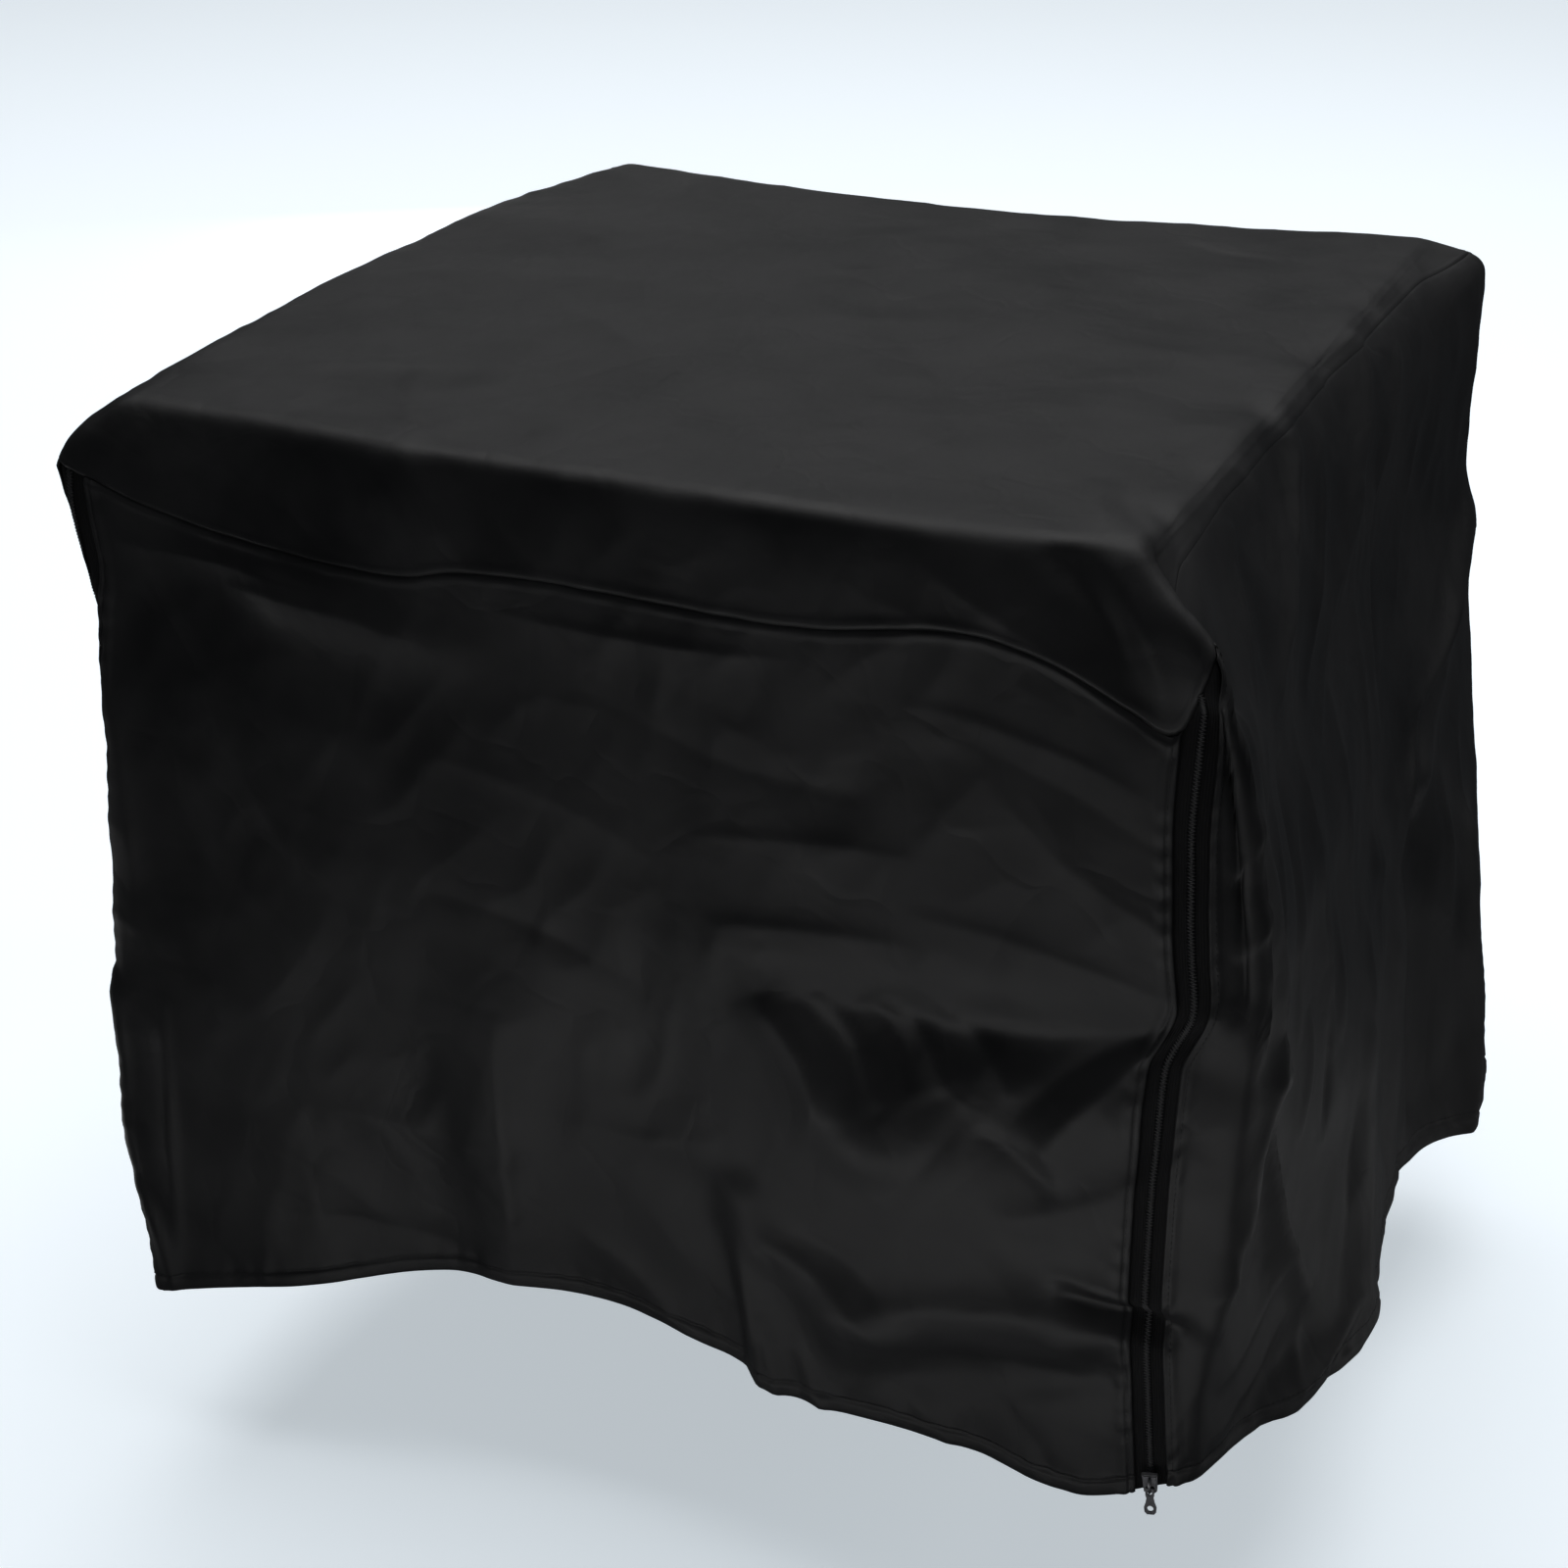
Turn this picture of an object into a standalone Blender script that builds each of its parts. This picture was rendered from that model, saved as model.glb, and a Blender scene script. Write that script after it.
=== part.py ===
"""A fitted zip cover for a square bird cage, draped as it hangs over the cage.

The cover is thin black polyester: a top panel that turns down over the front of the roof as a band,
four wall panels, and a zip with its slider and pull at each front corner.
The cage itself is not part of the object, so the cover is hollow and open below.

Every sheet is one grid laid on the same draped surface, drape(place, level):
    place  goes once round the cover, seen from above against the clock. 0 is the front left corner,
           2 the front right, 4 the back right and 6 the back left, and odd numbers are mid sides.
    level  goes down it. -1 is the middle of the roof, 0 its edge, and 1 to 5 are the rows named in
           LEVELS, with the hem at 5.
The origin is under the middle of the top panel. X points right, Y to the back, Z up.
"""

import math
from collections import namedtuple

import bmesh
import bpy
import numpy as np
from mathutils import Matrix, Vector
from mathutils.bvhtree import BVHTree

MM = 0.001

# Driving sizes
ROOF_HALF_WIDTH = 228 * MM
ROOF_HALF_DEPTH = 240 * MM
CLOTH = 1.5 * MM
SEAM_GAP = 0.6 * MM
TOP_SEAM_GAP = 1.0 * MM
ZIP_WIDTH = 14 * MM
TAPE = 1.2 * MM
COIL_HEIGHT = 1.0 * MM
RUNNING_GAP = 0.4 * MM

# Slider: a wedge body, narrower at its lower end and at its outer face, with a bent wire bridge
SLIDER_LENGTH = 10.5 * MM
SLIDER_WIDTH = 7.6 * MM
SLIDER_BODY = 2.2 * MM
SLIDER_EDGE = 0.45 * MM
LOWER_END_SHARE = 0.78
OUTER_WIDTH_SHARE = 0.86
OUTER_LENGTH_SHARE = 0.92
BRIDGE_WIRE = 1.2 * MM
BRIDGE_RISE = 3.2 * MM
BRIDGE_HALF_LENGTH = 3.5 * MM
BRIDGE_SQUARENESS = 0.45
BRIDGE_STEPS = 10
# Level of the slider's middle on the zip, just above the hem
SLIDER_LEVEL = 4.95

# Pull: a flat plate that hangs from the bridge by its top bar
PULL_LENGTH = 15 * MM
PULL_WIDTH = 5.4 * MM
PULL_PLATE = 0.8 * MM
# Height of the pull's top edge over the slider's middle
PULL_TOP = -1.3 * MM
HOLE_SIDES = 12
# Half width of the plate, as a share of its width, at places down its length
Waist = namedtuple("Waist", "along half_width")
PULL_OUTLINE = (
    Waist(0, 0.22),
    Waist(0.03, 0.34),
    Waist(0.24, 0.36),
    Waist(0.36, 0.28),
    Waist(0.55, 0.36),
    Waist(0.72, 0.5),
    Waist(0.88, 0.46),
    Waist(0.97, 0.28),
)
# The slot for the bridge and the eye at the free end, as shares of the plate's length and width
Hole = namedtuple("Hole", "middle half_width half_height")
PULL_HOLES = (Hole(0.17, 0.19, 0.095), Hole(0.76, 0.26, 0.12))

LEVELS = ("roof", "shoulder", "upper", "middle", "lower", "hem")
# Length of cloth from the roof's edge down to each level, in mm: the scale that folds are placed on
LEVEL_LENGTH = (0, 50, 130, 235, 345, 465)
HEM = len(LEVELS) - 1

# Where each corner's ridge runs, level by level, in mm from the roof's corner: how far it stands out
# sideways, how far it stands out to the front or the back, and how far down it is.
Corner = namedtuple("Corner", "sideways endways down")
CORNERS = {
    "front_left": ((0, 0, 0), (25, 16, 30), (13, 15, 112), (19, 15, 215), (26, 15, 330), (18, 15, 452)),
    "front_right": ((0, 0, 0), (36, 15, 38), (51, 11, 110), (58, 8, 190), (50, 4, 300), (42, -6, 417)),
    "back_right": ((-7, 10, 0), (23, 22, 15), (24, 14, 100), (37, 10, 215), (54, 4, 330), (73, -14, 455)),
    "back_left": ((-6, -8, 0), (16, 14, 16), (15, 13, 100), (17, 13, 215), (21, 13, 330), (24, 12, 446)),
}
CORNER_NAMES = tuple(CORNERS)
# Which way is out at each corner, along X and along Y
CORNER_WAYS = {"front_left": (-1, -1), "front_right": (1, -1), "back_right": (1, 1), "back_left": (-1, 1)}

# How far each wall stands out, in mm, from the straight line between its two corners, level by level,
# and how far its shoulder and its hem are raised above that line.
Bulge = namedtuple("Bulge", ("place",) + LEVELS + ("shoulder_raised", "hem_raised"))
BULGES = (
    Bulge(0.30, 3, -4, -6, -5, -4, -3, -16, 15),
    Bulge(0.65, 8, -4, -8, -8, -14, -22, -20, 29),
    Bulge(0.95, 10, -4, -8, -8, -14, -19, -17, 25),
    Bulge(1.22, 11, -4, -5, -4, -6, -7, -16, 9),
    Bulge(1.40, 11, -4, -5, -4, 0, 0, -14, 2),
    Bulge(1.60, 10, -4, -3, -2, 2, -3, -8, -6),
    Bulge(1.80, 6, -3, -1, 0, 3, 5, -6, -14),
    Bulge(2.20, 0, -14, -8, -2, 6, 9, -4, 3),
    Bulge(2.42, 0, -20, -14, -4, 12, 21, -4, 6),
    Bulge(2.63, 0, -20, -17, -6, 14, 27, -6, 9),
    Bulge(2.85, 0, -19, -18, -8, 10, 19, -8, 14),
    Bulge(3.12, 0, -18, -18, -12, -2, 2, -8, 21),
    Bulge(3.35, 0, -16, -18, -14, -4, 4, -8, 17),
    Bulge(3.65, 0, -12, -12, -6, 4, 15, -6, 8),
    Bulge(4.50, -16, -12, -10, -6, -6, -8, 0, 10),
    Bulge(5.00, -28, -18, -10, -4, -10, -14, 0, 16),
    Bulge(5.50, -20, -12, -10, -6, -4, -6, 0, 8),
    Bulge(6.50, 22, -4, -8, -6, -4, 6, -6, 8),
    Bulge(7.00, 21, -3, -10, -8, -8, -4, -8, 16),
    Bulge(7.50, 14, -4, -8, -4, 4, 8, -8, 10),
)

# The seam under the top panel. In front it hangs a band's depth below the roof, and along the sides
# it follows the roof's edge.
Seam = namedtuple("Seam", "place level")
SEAM = tuple(
    Seam(*row)
    for row in (
        (0.00, 0.95), (0.25, 1.05), (0.60, 1.10), (0.80, 0.95), (1.30, 1.00), (1.60, 0.92),
        (1.74, 1.05), (1.84, 1.30), (1.90, 1.42), (1.97, 1.10), (2.04, 0.66), (2.12, 0.32),
        (2.35, 0.26), (3.00, 0.26), (3.70, 0.34), (4.00, 0.60), (4.20, 0.55), (5.00, 0.50),
        (5.80, 0.55), (6.00, 0.55), (6.25, 0.34), (7.00, 0.26), (7.70, 0.32), (7.92, 0.62),
    )
)

# The middle of each zip: how far it lies in front of its corner, in mm, level by level
ZipRun = namedtuple("ZipRun", "level from_corner")
RIGHT_ZIP = tuple(
    ZipRun(*row)
    for row in ((0.5, 8), (1, 8), (1.4, 15), (2, 23), (2.6, 25), (2.84, 24), (3.15, 34), (4, 29), (5, 17))
)
LEFT_ZIP = tuple(
    ZipRun(*row) for row in ((0.5, 8), (1, 7), (1.5, 1), (2, -9), (2.5, -13), (3, -14), (4, -14), (5, -13))
)

# Folds of the walls: from one end to the other, as place and mm below the roof,
# then the half width and the height in mm. A height below zero is a hollow.
Fold = namedtuple("Fold", "from_place from_down to_place to_down half_width height")
FOLDS = (
    # Front: the band over the seam
    Fold(0.62, 5, 0.80, 50, 13, 1.5),
    Fold(1.87, 12, 1.87, 54, 12, -4),
    Fold(0.40, 76, 0.66, 84, 13, 3),
    # Front: the claw folds beside the deep hollow that runs to the kink in the zip
    Fold(1.24, 230, 1.41, 284, 14, 4),
    Fold(1.40, 226, 1.90, 202, 20, -6),
    Fold(1.92, 192, 1.72, 262, 13, 4),
    Fold(1.34, 272, 1.50, 276, 22, 4),
    # Front: upright folds above the hem, and the pleat across the zip
    Fold(0.74, 262, 0.72, 410, 24, 5),
    Fold(1.19, 325, 1.25, 420, 13, 5),
    Fold(1.12, 330, 1.16, 420, 14, -3),
    Fold(1.25, 345, 1.46, 375, 14, 3),
    Fold(1.40, 372, 1.80, 338, 18, 5),
    Fold(1.48, 400, 1.82, 372, 14, -4),
    Fold(1.78, 334, 1.94, 340, 12, -4),
    # Front right corner: the tuck under the shoulder and the hollow beside the zip
    Fold(2.08, 18, 2.11, 56, 12, -5),
    Fold(1.98, 62, 1.98, 174, 11, -6),
    # Right side: the ridge behind the corner and its fork
    Fold(2.08, 70, 2.10, 215, 12, 4),
    Fold(2.10, 225, 2.01, 330, 12, 3),
    Fold(2.12, 225, 2.35, 356, 13, 3),
    Fold(2.15, 262, 2.20, 330, 16, -3),
    # Right side: the long folds down to the hem
    Fold(2.74, 290, 2.60, 395, 13, 3),
    Fold(2.66, 408, 2.28, 420, 14, 4),
    Fold(2.36, 385, 2.16, 402, 14, -3),
    Fold(3.96, 143, 3.50, 240, 16, 6),
    Fold(3.50, 242, 3.14, 246, 14, 3),
    Fold(3.48, 262, 3.40, 400, 20, -6),
    Fold(3.80, 300, 3.56, 450, 14, 6),
    Fold(3.24, 300, 3.00, 460, 20, 5),
    Fold(2.75, 20, 2.50, 100, 16, 2.5),
    Fold(3.24, 10, 3.00, 90, 16, 2.5),
    # Left side and back
    Fold(6.40, 60, 6.55, 450, 24, 6),
    Fold(7.25, 160, 7.10, 450, 22, -7),
    Fold(7.80, 120, 7.75, 430, 14, 5),
    Fold(4.45, 80, 4.60, 450, 26, 7),
    Fold(5.15, 200, 5.00, 450, 24, -7),
    Fold(5.70, 100, 5.60, 440, 20, 5),
)

# Low wrinkles of the roof, in mm from its middle: both ends, then half width and height
Wrinkle = namedtuple("Wrinkle", "from_x from_y to_x to_y half_width height")
WRINKLES = (
    Wrinkle(-126, -150, -75, -235, 10, 2.5),
    Wrinkle(-98, -205, -50, -238, 7, 3.0),
    Wrinkle(170, -150, 205, -225, 10, 3.0),
    Wrinkle(110, 205, 160, 190, 9, 2.5),
    Wrinkle(-60, 40, 60, -110, 16, 1.6),
    Wrinkle(30, 90, 130, -60, 18, 1.6),
    Wrinkle(-150, 120, -20, 60, 20, 1.6),
)

SIDES = ("front", "right", "back", "left")
OUTWARD = {"front": (0, -1), "right": (1, 0), "back": (0, 1), "left": (-1, 0)}
ROUND = 2 * len(SIDES)
# Cloth length of one unit of place, in mm, for the size and position of folds
PLACE_LENGTH = 255
# Share of the top panel's rings that lie on the roof. The others run over its edge.
ROOF_RINGS = 9 / 14
# Rounding of the roof's edge and of the corners, in mm: the spacing of the samples that are averaged,
# with the weight of each. Above the hem they are drawn together, so that the hem keeps its place.
ROUNDING = 4.5
SMOOTHING = (1, 4, 6, 4, 1)
DRAWN_TOGETHER = 40
# Width in mm of the strip in which wall folds give way to roof wrinkles
FOLD_START = 12
# Steps of place and level over which the surface's slope is measured
STEP_PLACE = 0.02
STEP_LEVEL = 0.04
TINY = 1e-9

# Grid of each panel: columns across it and rows down it
Grid = namedtuple("Grid", "columns rows")
TOP_GRID = Grid(28, 28)
FRONT_GRID = Grid(30, 26)
RIGHT_GRID = Grid(30, 26)
BACK_GRID = Grid(16, 14)
LEFT_GRID = Grid(18, 14)
ZIP_GRID = Grid(7, 26)


def smooth_curve(known_at, values, wanted):
    """Cubic curve through the values, with each slope taken from its neighbours and no overshoot."""
    known_at = np.asarray(known_at, float)
    values = np.asarray(values, float)
    steps = np.diff(known_at)
    rises = np.diff(values) / steps
    slopes = np.empty_like(values)
    slopes[0] = rises[0]
    slopes[-1] = rises[-1]
    before, after = rises[:-1], rises[1:]
    same_way = before * after > 0
    slopes[1:-1] = np.where(same_way, 2 * before * after / np.where(same_way, before + after, 1), 0)
    wanted = np.clip(wanted, known_at[0], known_at[-1])
    piece = np.clip(np.searchsorted(known_at, wanted, side="right") - 1, 0, len(steps) - 1)
    width = steps[piece]
    part = (wanted - known_at[piece]) / width
    return (
        values[piece] * (1 + 2 * part) * (1 - part) ** 2
        + slopes[piece] * width * part * (1 - part) ** 2
        + values[piece + 1] * part**2 * (3 - 2 * part)
        + slopes[piece + 1] * width * part**2 * (part - 1)
    )


def seam_level(place):
    """Level of the seam under the top panel, as a closed curve round the cover."""
    places = [row.place + turn for turn in (-ROUND, 0, ROUND) for row in SEAM]
    return smooth_curve(places, [row.level for row in SEAM] * 3, np.mod(place, ROUND))


def corner_ridge(name, level):
    """Points of a corner's ridge, in metres."""
    x_way, y_way = CORNER_WAYS[name]
    ridge_at = Corner(*(smooth_curve(range(len(LEVELS)), column, level) for column in zip(*CORNERS[name])))
    return np.stack(
        (
            x_way * (ROOF_HALF_WIDTH + ridge_at.sideways * MM),
            y_way * (ROOF_HALF_DEPTH + ridge_at.endways * MM),
            -ridge_at.down * MM,
        ),
        axis=-1,
    )


def bulge_of(side, share, level):
    """How far a wall stands out and is raised beyond the line between its corners, in metres."""
    start = 2 * SIDES.index(side)
    rows = [row for row in BULGES if start < row.place < start + 2]
    shares = [0] + [(row.place - start) / 2 for row in rows] + [1]
    _, *columns = zip(*rows)
    here = [smooth_curve(shares, [0, *column, 0], share) for column in columns]
    *out_by_level, shoulder_raised, hem_raised = here
    out_by_level = np.stack(out_by_level)
    above = np.clip(np.floor(level).astype(int), 0, HEM - 1)
    part = np.clip(level - above, 0, 1)
    ease = part * part * (3 - 2 * part)
    out_above = np.take_along_axis(out_by_level, above[None], 0)[0]
    out_below = np.take_along_axis(out_by_level, above[None] + 1, 0)[0]
    out = out_above + (out_below - out_above) * ease
    at_shoulder = np.clip(level, 0, 1)
    to_hem = np.clip((level - 1) / (HEM - 1), 0, 1)
    raised = shoulder_raised * at_shoulder * (1 - to_hem) + hem_raised * to_hem
    return out * MM, raised * MM


def sharp_drape(place, level):
    """The draped surface before its edges are rounded: flat roof, upright walls, straight corners."""
    place = np.mod(place, ROUND)
    points = np.zeros(place.shape + (3,))
    wall_level = np.maximum(level, 0)
    for number, side in enumerate(SIDES):
        here = np.floor(place / 2).astype(int) == number
        if not here.any():
            continue
        share = place[here] / 2 - number
        down = wall_level[here]
        start = corner_ridge(CORNER_NAMES[number], down)
        end = corner_ridge(CORNER_NAMES[(number + 1) % len(SIDES)], down)
        out, raised = bulge_of(side, share, down)
        wall = start + (end - start) * share[:, None]
        wall += out[:, None] * np.array([*OUTWARD[side], 0])
        wall[:, 2] += raised
        points[here] = wall
    inside = np.minimum(level, 0) + 1
    points[..., :2] *= inside[..., None]
    return points


def level_length(level):
    """Length of cloth below the roof's edge, in mm. Above the edge it is below zero."""
    on_wall = np.interp(level, range(len(LEVELS)), LEVEL_LENGTH)
    return np.where(level < 0, level * ROOF_HALF_DEPTH / MM, on_wall)


def level_at(length):
    """The level at a length of cloth below the roof's edge, in mm."""
    on_wall = np.interp(length, LEVEL_LENGTH, range(len(LEVELS)))
    return np.where(length < 0, length * MM / ROOF_HALF_DEPTH, on_wall)


def rounded_drape(place, level):
    """The surface with its edges rounded, by averaging points a little way round each one."""
    points = 0
    total = sum(SMOOTHING) ** 2
    middle = len(SMOOTHING) // 2
    length = level_length(level)
    reach = ROUNDING * np.clip((LEVEL_LENGTH[HEM] - length) / DRAWN_TOGETHER, 0, 1)
    for i, weight_along in enumerate(SMOOTHING):
        moved_place = place + (i - middle) * ROUNDING / PLACE_LENGTH
        for j, weight_down in enumerate(SMOOTHING):
            moved_level = level_at(length + (j - middle) * reach)
            points = points + sharp_drape(moved_place, moved_level) * (weight_along * weight_down / total)
    return points


def ridge(from_start, across, down, half_width):
    """Shape of one ridge from 0 to 1, round across and fading out at both ends.
    from_start is the way from its start, as two arrays, and (across, down) is its whole run."""
    length = math.hypot(across, down)
    along = (from_start[0] * across + from_start[1] * down) / length
    aside = (from_start[0] * down - from_start[1] * across) / length
    beyond = np.maximum(np.maximum(-along, along - length), 0)
    return np.exp(-((aside / half_width) ** 2) - (beyond / half_width) ** 2)


def fold_height(place, level, base):
    """Total height of the folds at points of the draped surface, in metres."""
    down = np.where(level < 0, level_length(level), -base[..., 2] / MM)
    height = np.zeros(place.shape)
    for fold in FOLDS:
        from_place = np.mod(place - fold.from_place + ROUND / 2, ROUND) - ROUND / 2
        from_start = (from_place * PLACE_LENGTH, down - fold.from_down)
        across = (fold.to_place - fold.from_place) * PLACE_LENGTH
        height += fold.height * ridge(from_start, across, fold.to_down - fold.from_down, fold.half_width)
    return height * MM


def wrinkle_height(points):
    """Total height of the roof's wrinkles, in metres."""
    height = np.zeros(points.shape[:-1])
    for row in WRINKLES:
        from_start = (points[..., 0] / MM - row.from_x, points[..., 1] / MM - row.from_y)
        across, down = row.to_x - row.from_x, row.to_y - row.from_y
        height += row.height * ridge(from_start, across, down, row.half_width)
    return height * MM


def outward(place, level):
    """Unit vectors that point out of the surface."""
    below = np.minimum(level + STEP_LEVEL, HEM)
    above = below - 2 * STEP_LEVEL
    around = rounded_drape(place + STEP_PLACE, level) - rounded_drape(place - STEP_PLACE, level)
    down = rounded_drape(place, below) - rounded_drape(place, above)
    normals = np.cross(down, around)
    lengths = np.linalg.norm(normals, axis=-1, keepdims=True)
    upright = np.array([0.0, 0.0, 1.0])
    return np.where(lengths > TINY, normals / np.maximum(lengths, TINY), upright)


def drape(place, level):
    """The inner face of the cloth, with its folds."""
    place = np.asarray(place, float)
    level = np.asarray(level, float)
    base = rounded_drape(place, level)
    on_wall = np.clip(level_length(level) / FOLD_START + 0.5, 0, 1)
    height = fold_height(place, level, base) * on_wall + wrinkle_height(base) * (1 - on_wall)
    return base + outward(place, level) * height[..., None]


def zip_place(corner, inward, run, level, aside):
    """Place of a line beside a zip's middle, aside metres from it towards the cover's side wall."""
    place = corner + inward * smooth_curve(*zip(*run), level) / PLACE_LENGTH
    around = rounded_drape(place + STEP_PLACE, level) - rounded_drape(place - STEP_PLACE, level)
    metres_per_place = np.linalg.norm(around, axis=-1) / (2 * STEP_PLACE)
    return place - inward * aside / metres_per_place


def right_zip_place(level, aside):
    return zip_place(2, -1, RIGHT_ZIP, level, aside)


def left_zip_place(level, aside):
    return zip_place(0, 1, LEFT_ZIP, level, aside)


def clear_scene():
    for thing in list(bpy.data.objects):
        bpy.data.objects.remove(thing, do_unlink=True)


def finish(name, colour, roughness, metallic=0.0):
    material = bpy.data.materials.new(name)
    material.use_nodes = True
    shader = material.node_tree.nodes["Principled BSDF"]
    shader.inputs["Base Color"].default_value = (*colour, 1)
    shader.inputs["Roughness"].default_value = roughness
    shader.inputs["Metallic"].default_value = metallic
    return material


def black_polyester(name):
    return finish(name + "_polyester", colour=(0.012, 0.012, 0.013), roughness=0.55)


def black_tape(name):
    return finish(name + "_tape", colour=(0.008, 0.008, 0.009), roughness=0.7)


def dark_metal(name):
    return finish(name + "_metal", colour=(0.16, 0.16, 0.17), roughness=0.35, metallic=1.0)


def add_object(name, mesh, material, collection):
    thing = bpy.data.objects.new(name, mesh)
    mesh.materials.append(material)
    collection.objects.link(thing)
    return thing


def sheet(name, grid, surface, thickness, material, collection):
    """A grid laid on surface(across, down), each running from 0 to 1, and thickened outward."""
    mesh = bpy.data.meshes.new(name)
    builder = bmesh.new()
    bmesh.ops.create_grid(builder, x_segments=grid.columns, y_segments=grid.rows, size=0.5)
    across = np.array([vertex.co.x + 0.5 for vertex in builder.verts])
    down = np.array([0.5 - vertex.co.y for vertex in builder.verts])
    for vertex, point in zip(builder.verts, surface(across, down)):
        vertex.co = point
    builder.to_mesh(mesh)
    builder.free()
    mesh.shade_smooth()
    thing = add_object(name, mesh, material, collection)
    solid = thing.modifiers.new("Thickness", "SOLIDIFY")
    solid.thickness = thickness
    solid.offset = 1
    return thing


def half_top_gap():
    """Half the gap under the top panel, as a share of a level."""
    return TOP_SEAM_GAP / 2 / (LEVEL_LENGTH[1] * MM)


def place_round_square(x, y):
    """Place of a point on the rim of a square that reaches from -1 to 1."""
    on_front, on_right, on_back = y <= -1 + TINY, x >= 1 - TINY, y >= 1 - TINY
    return np.mod(np.select([on_front, on_right, on_back], [1 + x, 3 + y, 5 - x], 7 - y), ROUND)


def top_surface(across, down):
    """The top panel: a square grid whose rings run round the roof and then over its edge to the seam."""
    x = across * 2 - 1
    y = 1 - down * 2
    ring = np.maximum(np.abs(x), np.abs(y))
    place = place_round_square(x / np.maximum(ring, TINY), y / np.maximum(ring, TINY))
    # Rings close up towards the roof's edge, where the cloth bends.
    on_roof = np.sin(np.clip(ring / ROOF_RINGS, 0, 1) * math.pi / 2) - 1
    over_edge = (ring - ROOF_RINGS) / (1 - ROOF_RINGS) * (seam_level(place) - half_top_gap())
    return drape(place, np.where(ring < ROOF_RINGS, on_roof, over_edge))


def wall_surface(left_edge, right_edge):
    """A wall panel between two edges, each a function of level, from the seam down to the hem."""

    def surface(across, down):
        level = 1 + down * (HEM - 1)
        # The seam's level depends on the place and the edges' place on the level, so it takes turns.
        for _ in range(3):
            left, right = left_edge(level), right_edge(level)
            place = left + (right - left) * across
            top = seam_level(place) + half_top_gap()
            level = top + (HEM - top) * down
        return drape(place, level)

    return surface


def plain_edge(place, way):
    """A seam that runs straight down the surface, half a gap to one side of the place."""
    return lambda level: place + way * SEAM_GAP / 2 / (PLACE_LENGTH * MM) + 0 * level


def zip_edge(zip_line, way):
    """The edge of a panel sewn to a zip: way is -1 on the front panel and 1 on the side panel."""
    return lambda level: zip_line(level, way * (ZIP_WIDTH / 2 + SEAM_GAP))


def tape_edge(zip_line, way):
    return lambda level: zip_line(level, way * ZIP_WIDTH / 2)


def zip_surface(zip_line):
    """The tapes and closed coil of a zip: a strip with a low ridge along its middle."""
    flat = wall_surface(tape_edge(zip_line, -1), tape_edge(zip_line, 1))
    coil_columns = 2.2

    def surface(across, down):
        points = flat(across, down)
        level = 1 + down * (HEM - 1)
        on_coil = np.clip(coil_columns - np.abs(across - 0.5) * ZIP_GRID.columns, 0, 1)
        return points + outward(zip_line(level, 0), level) * (on_coil * COIL_HEIGHT)[:, None]

    return surface


def build_panels(collection):
    left_zip_behind = zip_edge(left_zip_place, 1)
    panels = (
        ("top_panel", TOP_GRID, top_surface),
        (
            "front_panel",
            FRONT_GRID,
            wall_surface(zip_edge(left_zip_place, -1), zip_edge(right_zip_place, -1)),
        ),
        ("right_side_panel", RIGHT_GRID, wall_surface(zip_edge(right_zip_place, 1), plain_edge(4, -1))),
        ("back_panel", BACK_GRID, wall_surface(plain_edge(4, 1), plain_edge(6, -1))),
        (
            "left_side_panel",
            LEFT_GRID,
            wall_surface(plain_edge(6, 1), lambda level: ROUND + left_zip_behind(level)),
        ),
    )
    for name, grid, surface in panels:
        sheet(name, grid, surface, CLOTH, black_polyester(name), collection)


def slider_mesh(name):
    """A slider's wedge body. Local Z points up the zip and Y out of it, from the body's inner face."""
    builder = bmesh.new()
    bmesh.ops.create_cube(builder, size=1)
    for vertex in builder.verts:
        width, length = SLIDER_WIDTH, SLIDER_LENGTH
        if vertex.co.z < 0:
            width *= LOWER_END_SHARE
        if vertex.co.y > 0:
            width *= OUTER_WIDTH_SHARE
            length *= OUTER_LENGTH_SHARE
        vertex.co = (vertex.co.x * width, (vertex.co.y + 0.5) * SLIDER_BODY, vertex.co.z * length)
    bmesh.ops.bevel(builder, geom=builder.edges[:], offset=SLIDER_EDGE, segments=2, affect="EDGES")
    mesh = bpy.data.meshes.new(name)
    builder.to_mesh(mesh)
    builder.free()
    return mesh


def bridge_mesh(name):
    """The bridge: a bent wire that rises from the slider's outer face and comes back to it."""
    curve = bpy.data.curves.new(name, "CURVE")
    curve.dimensions = "3D"
    curve.bevel_depth = BRIDGE_WIRE / 2
    curve.bevel_resolution = 2
    curve.use_fill_caps = True
    spline = curve.splines.new("POLY")
    spline.points.add(BRIDGE_STEPS)
    for step, point in enumerate(spline.points):
        angle = math.pi * step / BRIDGE_STEPS
        rise = BRIDGE_RISE * math.sin(angle) ** BRIDGE_SQUARENESS
        point.co = (0, SLIDER_BODY - BRIDGE_WIRE / 2 + rise, BRIDGE_HALF_LENGTH * math.cos(angle), 1)
    holder = bpy.data.objects.new(name, curve)
    bpy.context.scene.collection.objects.link(holder)
    graph = bpy.context.evaluated_depsgraph_get()
    mesh = bpy.data.meshes.new_from_object(holder.evaluated_get(graph))
    bpy.data.objects.remove(holder)
    builder = bmesh.new()
    builder.from_mesh(mesh)
    bmesh.ops.remove_doubles(builder, verts=builder.verts, dist=0.01 * MM)
    builder.to_mesh(mesh)
    builder.free()
    return mesh


def add_ring(curve, points):
    spline = curve.splines.new("POLY")
    spline.points.add(len(points) - 1)
    for point, (x, y) in zip(spline.points, points):
        point.co = (x, y, 0, 1)
    spline.use_cyclic_u = True


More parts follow.
